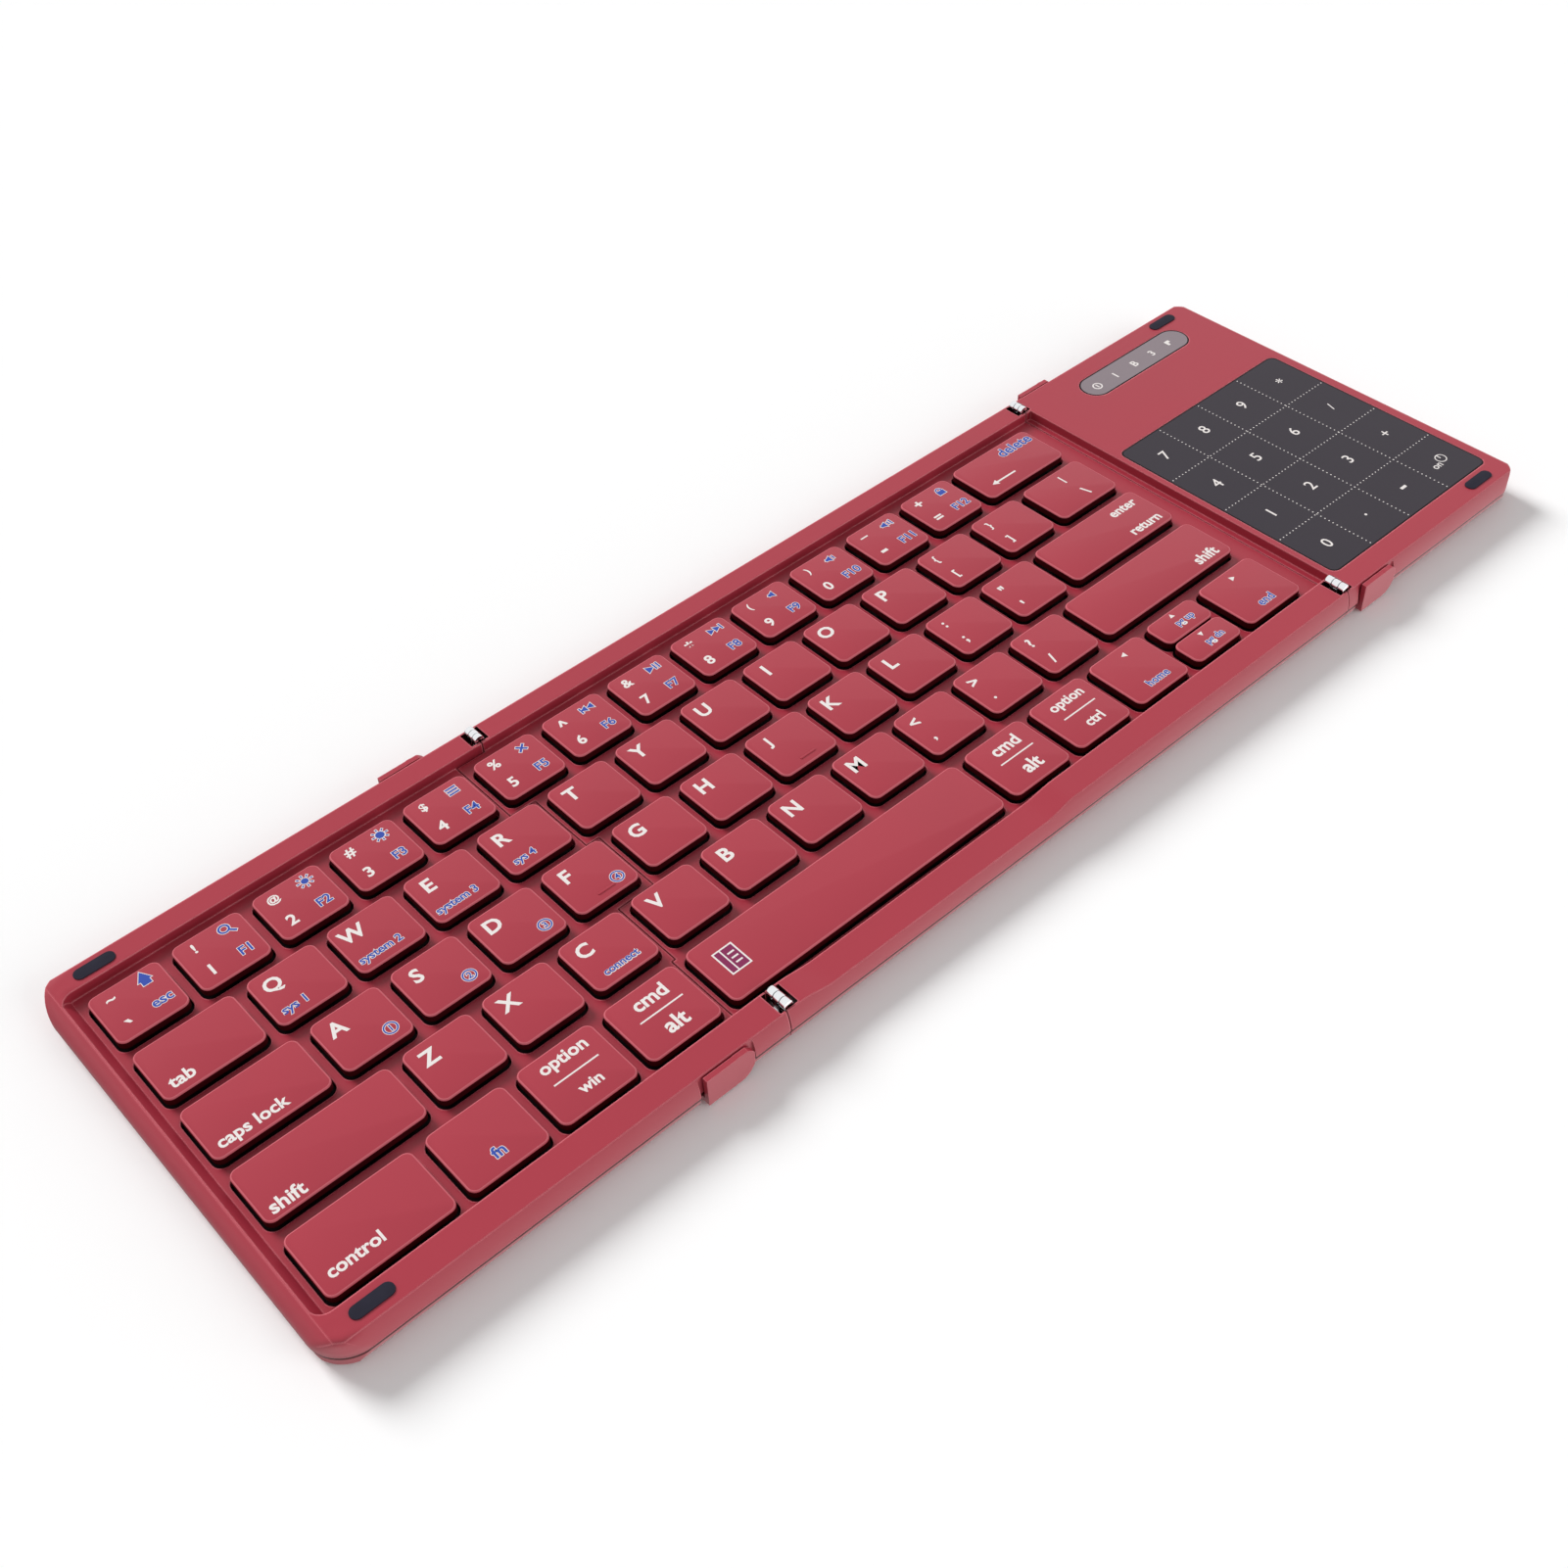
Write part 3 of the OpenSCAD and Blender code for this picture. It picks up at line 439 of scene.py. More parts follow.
# %% [markdown]
# ## Small tools for making pieces
# Most small parts here are rounded plates. One recipe makes them all: scale a cube, bevel its
# upright edges into corners, then bevel the rim of its top. A Bevel modifier would round every
# edge alike, while a part that lies on the case needs a sharp foot. `stamp` copies a finished
# shape into a larger one, so that a bank of keys can be one piece.

# %% Boxes, plates and bars
def box(width, depth, height):
    """A box round the origin."""
    bm = bmesh.new()
    bmesh.ops.create_cube(bm, size=1.0)
    bmesh.ops.scale(bm, vec=(width, depth, height), verts=bm.verts)
    return bm


def cylinder(radius, height, steps):
    """An upright cylinder round the origin."""
    bm = bmesh.new()
    bmesh.ops.create_cone(bm, cap_ends=True, segments=steps, radius1=radius, radius2=radius,
                          depth=height)
    return bm


def bevel(bm, edges, offset, segments):
    bmesh.ops.bevel(bm, geom=edges, affect="EDGES", offset=offset, offset_type="OFFSET",
                    segments=segments, profile=0.5, material=-1, clamp_overlap=True)


def rounded_plate(width, depth, height, corner, edge, corner_steps=6, edge_steps=3):
    """A plate standing on z = 0, with round corners and a rounded top edge."""
    bm = box(width, depth, height)
    bmesh.ops.translate(bm, vec=(0, 0, height / 2), verts=bm.verts)
    upright = [e for e in bm.edges if abs(e.verts[0].co.z - e.verts[1].co.z) > height / 2]
    bevel(bm, upright, corner, corner_steps)
    rim = [e for e in bm.edges if min(v.co.z for v in e.verts) > height * 0.999]
    if edge > 0:
        bevel(bm, rim, edge, edge_steps)
    return bm


def round_bar(radius, length, edge, steps=40):
    """A cylinder along Y from y = 0, with rounded ends."""
    bm = cylinder(radius, length, steps)
    rims = [e for e in bm.edges if abs(e.verts[0].co.z - e.verts[1].co.z) < length / 2]
    bevel(bm, rims, edge, 3)
    bmesh.ops.rotate(bm, verts=bm.verts, matrix=Matrix.Rotation(-math.pi / 2, 3, "X"))
    bmesh.ops.translate(bm, vec=(0, length / 2, 0), verts=bm.verts)
    return bm


print("a plate of 4 by 3 mm has", len(rounded_plate(*mm(4, 3, 1, 0.5, 0.1)).faces), "faces")

# %% Shaping and joining
def pull(bm, faces, rise):
    """Extrudes faces straight up."""
    raised = bmesh.ops.extrude_face_region(bm, geom=faces)["geom"]
    lifted = [v for v in raised if isinstance(v, bmesh.types.BMVert)]
    bmesh.ops.translate(bm, verts=lifted, vec=(0, 0, rise))


def give(bm, index):
    """Gives every face the finish of this number."""
    for face in bm.faces:
        face.material_index = index


def stamp(target, source, move=(0, 0, 0)):
    """Copies one bmesh into another, moved by so many metres, and frees it."""
    bmesh.ops.translate(source, verts=source.verts, vec=move)
    mesh = bpy.data.meshes.new("stamp")
    source.to_mesh(mesh)
    source.free()
    target.from_mesh(mesh)
    bpy.data.meshes.remove(mesh)


def add_piece(name, bm, finishes, body, replaced=(), smooth=True):
    """Turns a bmesh into a piece that rides on a body."""
    mesh = bpy.data.meshes.new(name)
    if smooth:
        for face in bm.faces:
            face.smooth = True
        for e in bm.edges:
            e.smooth = len(e.link_faces) == 2 and e.calc_face_angle(0) < math.radians(40)
    bm.to_mesh(mesh)
    bm.free()
    for finish in finishes:
        mesh.materials.append(finish)
    made = in_scene(name, mesh)
    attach(made, body)
    if replaced:
        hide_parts(*replaced)
    return made


print("tools for pieces ready")

# %% [markdown]
# ## The key field
# The letter keys stand 18 mm apart in each row, and every row starts further right than the one
# behind it. All places could be typed out one by one, but the pitch, the wide key at the start of
# each row and the number of plain keys after it say the same. Each key comes out as its left edge,
# its width, the middle of its depth and its depth.

# %% Key field
PITCH, CAP_W, CAP_D, FRONT_D = 18.0, 15.3, 14.2, 15.8
KEYS_LEFT, KEYS_RIGHT = -162.5, 97.1
ROW_Y, FRONT_Y = [35.4, 17.9, 0.4, -17.1], -35.8
LEAD = [0.0, 21.6, 24.8, 33.7]    # width of the wide key that each row starts with, if any
UNITS = [13, 12, 11, 10]          # plain keys in each row
HALF_GAP = 0.6                    # between the two half keys of the front row
CAP_TOP = 7.85
FRONT_W = [26.5, 17.4, 17.4, 17.4, 73.4, 17.0, 16.4, 16.4, 15.2]


def unit(row, place):
    """A plain key, counted from 0 at the left."""
    start = LEAD[row] + PITCH - CAP_W if LEAD[row] else 0.0
    return KEYS_LEFT + start + place * PITCH, CAP_W, ROW_Y[row], CAP_D


def lead(row):
    """The wide key that a row starts with."""
    return KEYS_LEFT, LEAD[row], ROW_Y[row], CAP_D


def tail(row):
    """The last key of a row, which reaches to the end of the field."""
    start = unit(row, UNITS[row])[0]
    return start, KEYS_RIGHT - start, ROW_Y[row], CAP_D


def front(place):
    """A key of the front row."""
    start = KEYS_LEFT + sum(FRONT_W[:place]) + place * (PITCH - CAP_W)
    width = FRONT_W[place] if place < len(FRONT_W) else KEYS_RIGHT - start
    return start, width, FRONT_Y, FRONT_D


def half(side):
    """The back (1) or the front (-1) half key of the front row."""
    start, width, y, depth = front(8)
    depth_of_half = (depth - HALF_GAP) / 2
    return start, width, y + side * (depth - depth_of_half) / 2, depth_of_half


print("the key field is", KEYS_RIGHT - KEYS_LEFT, "mm wide")

# %% Keys of every node
KEYS_OF_NODE = {
    "key_tab": [lead(1)], "key_backspace": [tail(0)], "key_enter": [tail(2)],
    "key_space": [front(4)],
    "keys_numbers_left": [unit(0, i) for i in range(5)],
    "keys_numbers_center": [unit(0, i) for i in range(5, 13)],
    "keys_punctuation": [unit(1, 10), unit(1, 11), tail(1), unit(2, 9), unit(2, 10),
                         unit(3, 7), unit(3, 8), unit(3, 9)],
    "keys_modifiers_left": [lead(2), lead(3)] + [front(i) for i in range(4)],
    "keys_modifiers_right": [tail(3), front(5), front(6), front(7), half(1), half(-1), front(9)],
}
LETTER_ROWS = {1: "qwertyuiop", 2: "asdfghjkl", 3: "zxcvbnm"}
for row, letters in LETTER_ROWS.items():
    for place, letter in enumerate(letters):
        KEYS_OF_NODE["key_" + letter] = [unit(row, place)]

bodies = frame["record"]["behaviour"]["bodies"]
body_of = {node: body for body, nodes in bodies.items() for node in nodes}
print(sum(len(keys) for keys in KEYS_OF_NODE.values()), "keys in", len(KEYS_OF_NODE), "nodes")

# %% [markdown]
# ## Key caps
# A cap is a shallow moulded tray, open below, with a round stem that slides in the key plate. It
# is rebuilt here because its soft top edge catches a thin line of light all round, and the CAD's
# plain chamfer doesn't; that line is also a painted highlight on the edge faces. The two keys a
# typist rests the first fingers on have a low bar near the front.

# %% Key caps
CAP_H, CAP_R, CAP_EDGE, CAP_WALL = 1.85, 1.8, 0.35, 0.9
TOP, EDGE, SIDE = 0, 1, 2
STEM_R, STEM_FOOT, STEM_INSET = 1.6, 4.1, 6.0
WIDE_CAP, SPACE_CAP = 22.0, 60.0    # caps wider than these have two or three stems
FINGER_REST, FINGER_REST_KEYS = (4.3, 0.5, 0.22, 0.24, 0.1), ("key_f", "key_j")


def cap_tray(width, depth):
    """One cap standing on z = 0, hollow below."""
    bm = rounded_plate(*mm(width, depth, CAP_H, CAP_R, CAP_EDGE))
    bottom = [f for f in bm.faces if f.normal.z < -0.9]
    bmesh.ops.inset_region(bm, faces=bottom, thickness=CAP_WALL * MM, use_even_offset=True)
    pull(bm, bottom, (CAP_H - CAP_WALL) * MM)
    bmesh.ops.delete(bm, geom=bottom, context="FACES")
    bmesh.ops.recalc_face_normals(bm, faces=bm.faces)
    # Top faces take the cap red, edge faces the painted highlight, side faces the painted shade.
    for face in bm.faces:
        rise = face.normal.z
        face.material_index = TOP if rise > 0.99 else EDGE if rise > 0.1 else SIDE
    return bm


def stem_places(left, width):
    """Stems along a cap: one, two under a wide cap, three under the space bar."""
    shares = [-1, 0, 1] if width > SPACE_CAP else [-1, 1] if width > WIDE_CAP else [0]
    return [left + width / 2 + share * (width / 2 - STEM_INSET) for share in shares]


def add_caps(node, keys):
    bm = bmesh.new()
    stem_h = CAP_TOP - CAP_WALL + 0.1 - STEM_FOOT
    for left, width, y, depth in keys:
        stamp(bm, cap_tray(width, depth), mm(left + width / 2, y, CAP_TOP - CAP_H))
        for x in stem_places(left, width):
            stem = cylinder(*mm(STEM_R, stem_h), 20)
            give(stem, SIDE)
            stamp(bm, stem, mm(x, y, STEM_FOOT + stem_h / 2))
        if node in FINGER_REST_KEYS:
            bar = rounded_plate(*mm(*FINGER_REST))
            stamp(bm, bar, mm(left + width / 2 + 0.4, y - 5.0, CAP_TOP - 0.04))
    return add_piece(node + ".cap", bm, [cap_paint, cap_edge, cap_side_shade], body_of[node],
                     [node])


def reach_of(obj):
    """Lowest and highest corner of an object's mesh."""
    points = [v.co for v in obj.data.vertices]
    return in_mm([f(p[axis] for p in points) for axis in range(3)] for f in (min, max))


caps, LEEWAY = {}, 0.05
for node_name, keys in KEYS_OF_NODE.items():
    caps[node_name] = add_caps(node_name, keys)
    made, solid = reach_of(caps[node_name]), reach_of(frame["nodes"][node_name])
    off = max(abs(a - b) for one, other in zip(made, solid) for a, b in zip(one, other))
    if off > LEEWAY:
        print(node_name, "is off the CAD by", off, "mm:", made, solid)
print("made", len(caps), "pieces of caps")

# %% [markdown]
# ## Printing tools
# Key print is a film of ink a few hundredths of a millimetre thick. It could be an image on the
# cap, but a film with a real edge stays sharp from any distance. Letters come from Blender's own
# font, made a mesh at full size and then scaled down. Signs that no font has, such as a lock or a
# lamp, are built from discs, rings, bars and wedges. Where two marks overlap, their tops would lie
# in one plane and flicker, so each is laid a hair higher.

# %% Type
type_cache = {}


def type_mesh(text, bold):
    """A word as a mesh of type size 1, centred on the origin, with its width and height."""
    if (text, bold) not in type_cache:
        curve = bpy.data.curves.new("type", "FONT")
        curve.body, curve.offset, curve.extrude, curve.resolution_u = text, bold, 0.5, 3
        typed = in_scene("type", curve)
        bpy.context.view_layer.update()
        made = typed.evaluated_get(bpy.context.evaluated_depsgraph_get())
        mesh = bpy.data.meshes.new_from_object(made)
        bpy.data.objects.remove(typed)
        bpy.data.curves.remove(curve)
        low = [min(v.co[axis] for v in mesh.vertices) for axis in (0, 1)]
        high = [max(v.co[axis] for v in mesh.vertices) for axis in (0, 1)]
        mesh.transform(Matrix.Translation((-(low[0] + high[0]) / 2, -(low[1] + high[1]) / 2, 0)))
        type_cache[text, bold] = mesh, high[0] - low[0], high[1] - low[1]
    return type_cache[text, bold]


print("the letter E is", [round(side, 3) for side in type_mesh("E", 0.02)[1:]], "of its size")

# %% Sheets of ink
INK_T, RIM = 0.03, 0.12
MARK_LEVELS, MARK_STEP = 12, 0.0005
WHITE, BLUE, VIOLET = 0, 1, 2
BOLD = {WHITE: 0.026, BLUE: 0.02}    # how much bolder than drawn, as a share of the size
# Layers of each ink: ink, growth and share of the thickness. Blue lies on a larger white one.
LAYERS = {WHITE: [(WHITE, 0.0, 1.0)], BLUE: [(WHITE, RIM, 0.5), (BLUE, 0.0, 1.0)],
          VIOLET: [(VIOLET, 0.0, 0.5)]}


class Print:
    """A film of ink on the tops of one piece's keys. All places and sizes are in millimetres."""

    def __init__(self, surface):
        self.bm, self.z, self.marks = bmesh.new(), surface, 0
        self.at(0.0, 0.0)

    def at(self, x, y, zoom=1.0):
        self.x, self.y, self.zoom = x, y, zoom
        return self

    def on(self, key, side=0.5):
        """Marks are placed from the middle of a key, or from its left (0) or right (1) end."""
        left, width, y, depth = key
        return self.at(left + width * side, y)

    def lay(self, source, x, y, ink_index, turn=0.0):
        bmesh.ops.remove_doubles(source, verts=source.verts, dist=1e-7)
        bmesh.ops.recalc_face_normals(source, faces=source.faces)
        give(source, ink_index)
        bmesh.ops.rotate(source, verts=source.verts, matrix=Matrix.Rotation(turn, 3, "Z"))
        bmesh.ops.scale(source, vec=(self.zoom, self.zoom, 1.0), verts=source.verts)
        self.marks = (self.marks + 1) % MARK_LEVELS
        stamp(self.bm, source, mm(self.x + x * self.zoom, self.y + y * self.zoom,
                                  self.z + self.marks * MARK_STEP))

    def text(self, body, x, y, ink_index=WHITE, height=None, width=None, bold=None):
        """Type centred on a place, fitted to a height or to a width."""
        bold = BOLD[ink_index] if bold is None else bold
        wide, high = type_mesh(body, bold)[1:]
        size = height / high if height else width / wide
        for ink_layer, grow, share in LAYERS[ink_index]:
            source = bmesh.new()
            source.from_mesh(type_mesh(body, bold + round(grow / size, 3))[0])
            bmesh.ops.scale(source, vec=mm(size, size, INK_T * share), verts=source.verts)
            self.lay(source, x, y, ink_layer)

    def disc(self, x, y, radius, ink_index=BLUE, corners=16, turn=0.0):
        for ink_layer, grow, share in LAYERS[ink_index]:
            reach = radius + grow / math.cos(math.pi / corners)
            self.lay(cylinder(*mm(reach, INK_T * share), corners), x, y, ink_layer, turn)

    def ring(self, x, y, radius, line=0.3, ink_index=BLUE):
        for ink_layer, grow, share in LAYERS[ink_index]:
            source = bmesh.new()
            for edge in (radius + grow, radius - line - grow):
                bmesh.ops.create_circle(source, segments=24, radius=edge * MM)
            faces = bmesh.ops.bridge_loops(source, edges=source.edges)["faces"]
            pull(source, faces, INK_T * share / 2 * MM)
            self.lay(source, x, y, ink_layer)

    def bar(self, x, y, width, depth, ink_index=BLUE, turn=0.0):
        for ink_layer, grow, share in LAYERS[ink_index]:
            size = mm(width + 2 * grow, depth + 2 * grow, INK_T * share)
            self.lay(box(*size), x, y, ink_layer, turn)

    def wedge(self, x, y, radius, ink_index=BLUE, turn=0.0):
        """A triangle whose point looks along +X before it is turned."""
        self.disc(x, y, radius, ink_index, corners=3, turn=turn - math.pi / 2)


print("the ink is", INK_T, "mm thick")

# %% [markdown]
# ## Print on the letter keys
# Letters stand in the back left quarter of each key. A few carry a small blue second function in
# front, which the fn key calls up: a ringed sign on the keys of the home row, a short word above.
# One sheet of ink for the whole keyboard would be less work, but the print has to go down with its
# own key, so each key gets a sheet of its own.

# %% Letter print
QUARTER_TURN, LETTER_BOLD = math.pi / 2, 0.028
SECOND_WORDS = {"q": ("sys 1", -3.0, -4.2, 5.2), "w": ("system 2", -1.5, -4.2, 9.6),
                "e": ("system 3", -1.5, -4.2, 9.6), "r": ("sys 4", -2.9, -4.2, 5.2),
                "c": ("connect", 0.1, -4.0, 8.2)}
RINGED = {"a": "1", "s": "2", "d": "3", "f": "4"}
prints = {}


def letter_print(letter, key):
    sheet = Print(CAP_TOP).on(key)
    middle, height = (2.9, 4.2) if letter == "q" else (3.1, 3.7)    # the tail of a Q hangs lower
    sheet.text(letter.upper(), -3.5, middle, height=height, bold=LETTER_BOLD)
    if letter in SECOND_WORDS:
        word, x, word_y, wide = SECOND_WORDS[letter]
        sheet.text(word, x, word_y, BLUE, width=wide)
    if letter in RINGED:
        sheet.ring(4.0, -3.8, 1.5, 0.32)
        sheet.text(RINGED[letter], 4.0, -3.8, BLUE, height=1.6)
    return sheet


def add_print(node, sheet):
    prints[node] = add_piece(node + ".print", sheet.bm, [white_ink, blue_ink, violet_ink],
                             body_of[node], smooth=False)


for row, letters in LETTER_ROWS.items():
    for letter in letters:
        node_name = "key_" + letter
        add_print(node_name, letter_print(letter, KEYS_OF_NODE[node_name][0]))
print("printed", len(prints), "letter keys")

# %% [markdown]
# ## Print on the number row
# Each number key has four marks: the shifted sign over the digit on the left, and on the right, in
# blue, a media sign over its function number. A media sign could be a drawn outline, but at three
# millimetres a few plain shapes read better.

# %% Number row print
SHIFTED, PLAIN = "~!@#$%^&*()_+", "`1234567890-="
SIGN_SIZE = {"~": {"width": 2.0}, "`": {"height": 1.1}, "^": {"width": 2.1}, "*": {"height": 2.5},
             "_": {"width": 2.2}, "-": {"width": 1.8}, "+": {"height": 2.2}, "=": {"width": 2.2}}
MEDIA_ZOOM = 1.25


def media_sign(sheet, place):
    """Home, find, two lamps, list, cross, back, play, on, three of sound, and a lock."""
    if place == 0:
        sheet.wedge(0, 0.5, 1.35, turn=QUARTER_TURN)
        sheet.bar(0, -0.6, 1.5, 1.1)
    elif place == 1:
        sheet.ring(-0.3, 0.3, 1.0, 0.35)
        sheet.bar(0.8, -0.8, 1.2, 0.4, turn=-QUARTER_TURN / 2)
    elif place in (2, 3):
        sheet.disc(0, 0, 0.35 + 0.15 * place, corners=10)
        for ray in range(8):
            angle = ray * QUARTER_TURN / 2
            sheet.bar(1.2 * math.cos(angle), 1.2 * math.sin(angle), 0.45, 0.25, turn=angle)
    elif place == 4:
        for line in range(3):
            sheet.bar(0, 0.7 * (line - 1), 2.0, 0.35)
    elif place == 5:
        for turn in (QUARTER_TURN / 2, -QUARTER_TURN / 2):
            sheet.bar(0, 0, 2.1, 0.4, turn=turn)
    elif place in (6, 8):
        way, turn = (1, 0) if place == 8 else (-1, math.pi)
        for x in (-0.8, 0.5):
            sheet.wedge(x, 0, 0.85, turn=turn)
        sheet.bar(1.5 * way, 0, 0.3, 1.5)
    elif place == 7:
        sheet.wedge(-0.7, 0, 1.0)
        for x in (0.5, 1.2):
            sheet.bar(x, 0, 0.32, 1.6)
    elif place in (9, 10, 11):
        sheet.bar(-0.9, 0, 0.6, 0.7)
        sheet.wedge(-0.5, 0, 0.9, turn=math.pi)
        for wave in range(place - 9):
            sheet.bar(0.5 + 0.6 * wave, 0, 0.28, 1.0 + 0.5 * wave)
    else:
        sheet.bar(0, -0.5, 1.7, 1.2)
        sheet.ring(0, 0.3, 0.7, 0.28)


def number_print(sheet, place, key):
    upper, lower = SHIFTED[place], PLAIN[place]
    sheet.on(key)
    sheet.text(upper, -3.7, 4.0, **SIGN_SIZE.get(upper, {"height": 2.7}))
    sheet.text(lower, -3.7, -2.9, **SIGN_SIZE.get(lower, {"height": 3.0}))
    sheet.at(sheet.x + 3.5, sheet.y + 4.0, MEDIA_ZOOM)
    media_sign(sheet, place)
    call, height = ("F%d" % place, 2.4) if place else ("esc", 1.7)
    sheet.on(key).text(call, 3.7, -2.9, BLUE, height=height)


for node_name, start in (("keys_numbers_left", 0), ("keys_numbers_center", 5)):
    sheet = Print(CAP_TOP)
    for step, key in enumerate(KEYS_OF_NODE[node_name]):
        number_print(sheet, start + step, key)
    add_print(node_name, sheet)
print("printed the number row")

# %% [markdown]
# ## Print on the punctuation and the named keys
# Punctuation keys carry two signs, one over the other. The named keys have their word low at the
# left end, or at the right end on the keys of the right side. Option, command and control keys
# share their cap between two systems, with a line between the two words. The space bar has a small
# sign of a sheet with a list. A word could be given a type size, but its length is what has to
# suit its key, so words are fitted to a width and single signs to a height.

# %% Punctuation keys
sheet = Print(CAP_TOP)
PAIRS = ["{[", "}]", "|\\", ":;", "\"'", "<,", ">.", "?/"]
SMALL = {",": 1.2, ".": 0.7, "'": 1.3, "\"": 1.3, ":": 2.0, ";": 2.6, "<": 2.4, ">": 2.4}
for (upper, lower), key in zip(PAIRS, KEYS_OF_NODE["keys_punctuation"]):
    upper_x, lower_x = (1.3, 2.3) if upper == "|" else (-4.0, -4.0)
    sheet.on(key).text(upper, upper_x, 3.6, height=SMALL.get(upper, 3.0))
    sheet.text(lower, lower_x, -3.1, height=SMALL.get(lower, 3.0))
add_print("keys_punctuation", sheet)
print("printed", len(PAIRS), "punctuation keys")

# %% Tab, delete and enter
FROM_LEFT, FROM_RIGHT = 0, 1

sheet = Print(CAP_TOP).on(lead(1), FROM_LEFT)
sheet.text("tab", 4.9, -3.8, width=5.2)
add_print("key_tab", sheet)

sheet = Print(CAP_TOP).on(tail(0), FROM_LEFT)
sheet.text("delete", 19.2, 4.0, BLUE, width=10.6)
sheet.bar(8.6, -3.3, 6.8, 0.5, WHITE)
sheet.wedge(5.2, -3.3, 1.1, WHITE, turn=math.pi)
add_print("key_backspace", sheet)

sheet = Print(CAP_TOP).on(tail(2), FROM_RIGHT)
sheet.text("enter", -6.5, 3.5, width=8.4)
sheet.text("return", -7.2, -4.2, width=9.6)
add_print("key_enter", sheet)
print("printed", len(prints), "pieces so far")

# %% Other named keys
def split_print(sheet, key, upper, upper_wide, lower, lower_wide, x, heights, line):
    """Two words for two systems, with a line between them."""
    sheet.on(key).text(upper, x, heights[0], width=upper_wide)
    sheet.bar(x, heights[1], line, 0.35, WHITE)
    sheet.text(lower, x + 0.2, heights[2], width=lower_wide)


sheet = Print(CAP_TOP)
sheet.on(lead(2), FROM_LEFT).text("caps lock", 9.4, -4.4, width=14.5)
sheet.on(lead(3), FROM_LEFT).text("shift", 5.5, -4.4, width=7.1)
sheet.on(front(0), FROM_LEFT).text("control", 8.0, -3.4, width=11.1)
sheet.on(front(1)).text("fn", -0.1, -3.5, BLUE, height=2.6, bold=BOLD[WHITE])
split_print(sheet, front(2), "option", 10.4, "win", 5.0, 0.4, (4.4, 0.65, -3.3), 10.2)
split_print(sheet, front(3), "cmd", 7.6, "alt", 5.0, 0.4, (4.4, 0.65, -3.3), 10.2)
add_print("keys_modifiers_left", sheet)

sheet = Print(CAP_TOP)
sheet.on(tail(3), FROM_RIGHT).text("shift", -6.4, -3.9, width=7.1)
split_print(sheet, front(5), "cmd", 7.4, "alt", 4.8, 0.6, (4.1, 0.5, -3.4), 9.6)
split_print(sheet, front(6), "option", 9.6, "ctrl", 4.8, 0.6, (4.1, 0.5, -3.4), 9.6)
for key, turn, arrow_at, word, word_at, wide in (
        (front(7), math.pi, (1.2, 5.2, 0.9), "home", (1.0, -4.5), 6.4),
        (front(9), 0.0, (0.3, 5.2, 0.9), "end", (0.1, -4.5), 4.6),
        (half(1), QUARTER_TURN, (0.0, 2.2, 0.8), "pg up", (1.4, -0.8), 5.4),
        (half(-1), -QUARTER_TURN, (0.0, 2.2, 0.8), "pg dn", (1.4, -0.8), 5.4)):
    sheet.on(key).wedge(*arrow_at, WHITE, turn)
    sheet.text(word, *word_at, BLUE, width=wide)
add_print("keys_modifiers_right", sheet)
print("printed", len(prints), "pieces so far")

# %% Sign on the space bar
SIGN_AT = (-66.6, -35.1)
SIGN_LINES = [(0, 3.1, 4.6, 0.35), (0, -3.1, 4.6, 0.35), (-2.3, 0, 0.35, 6.55),
              (2.3, 0, 0.35, 6.55), (-0.7, 0, 0.3, 6.0), (0.8, 1.3, 1.6, 0.4),
              (0.8, 0.0, 1.6, 0.4), (0.8, -1.3, 1.6, 0.4)]
sheet = Print(CAP_TOP).at(*SIGN_AT)
sheet.bar(0, 0, 4.4, 6.2, VIOLET)
for line in SIGN_LINES:
    sheet.bar(*line, WHITE)
add_print("key_space", sheet)
print("printed", len(prints), "pieces in all")

# %% [markdown]
# ## Hinge barrels
# Each panel joint is a pair of short barrels, front and back, on a steel pin. Two knuckles belong
# to the centre panel and the middle one to the side panel. They are turned and plated, with
# rounded ends, and each stands on a bent leaf that lies on a seat inside the case. A lathed
# profile could be spun for them; a cylinder with its rims bevelled gives the same shape in fewer
# steps.

# %% Hinge barrels
FOLDS = {"left": (LEFT_FOLD, -1), "right": (RIGHT_FOLD, 1)}
AXIS_Z, BARREL_R, PIN_R, KNUCKLE_GAP = 8.3, 1.15, 0.45, 0.12
# Front and back barrel: start and end, then the middle and the width of the leaf's arm
BARRELS = [(-51.3, -46.1, -48.8, 3.4), (47.2, 51.3, BACK_BARREL_Y, 3.0)]


def add_leaf(bm, fold, side, places, start, end, arm_y, arm_depth):
    """Knuckles on one side of a joint, with the bent leaf they stand on."""
    length = (end - start - 2 * KNUCKLE_GAP) / 3
    near, bend, reach, low, thick = 0.3, BARREL_R, 10.0, 4.7, 0.8
    neck_x, arm_x = fold + side * (near + bend) / 2, fold + side * (near + reach) / 2
    for place in places:
        y = start + place * (length + KNUCKLE_GAP)
        stamp(bm, round_bar(*mm(BARREL_R, length, 0.18)), mm(fold, y, AXIS_Z))
        neck = rounded_plate(*mm(bend - near, length, AXIS_Z - low, 0.1, 0))
        stamp(bm, neck, mm(neck_x, y + length / 2, low))
    foot = rounded_plate(*mm(bend - near, end - start, thick, 0.1, 0))
    stamp(bm, foot, mm(neck_x, (start + end) / 2, low))
    arm = rounded_plate(*mm(reach - near, arm_depth, thick, 0.3, 0.1))
    stamp(bm, arm, mm(arm_x, arm_y, low))


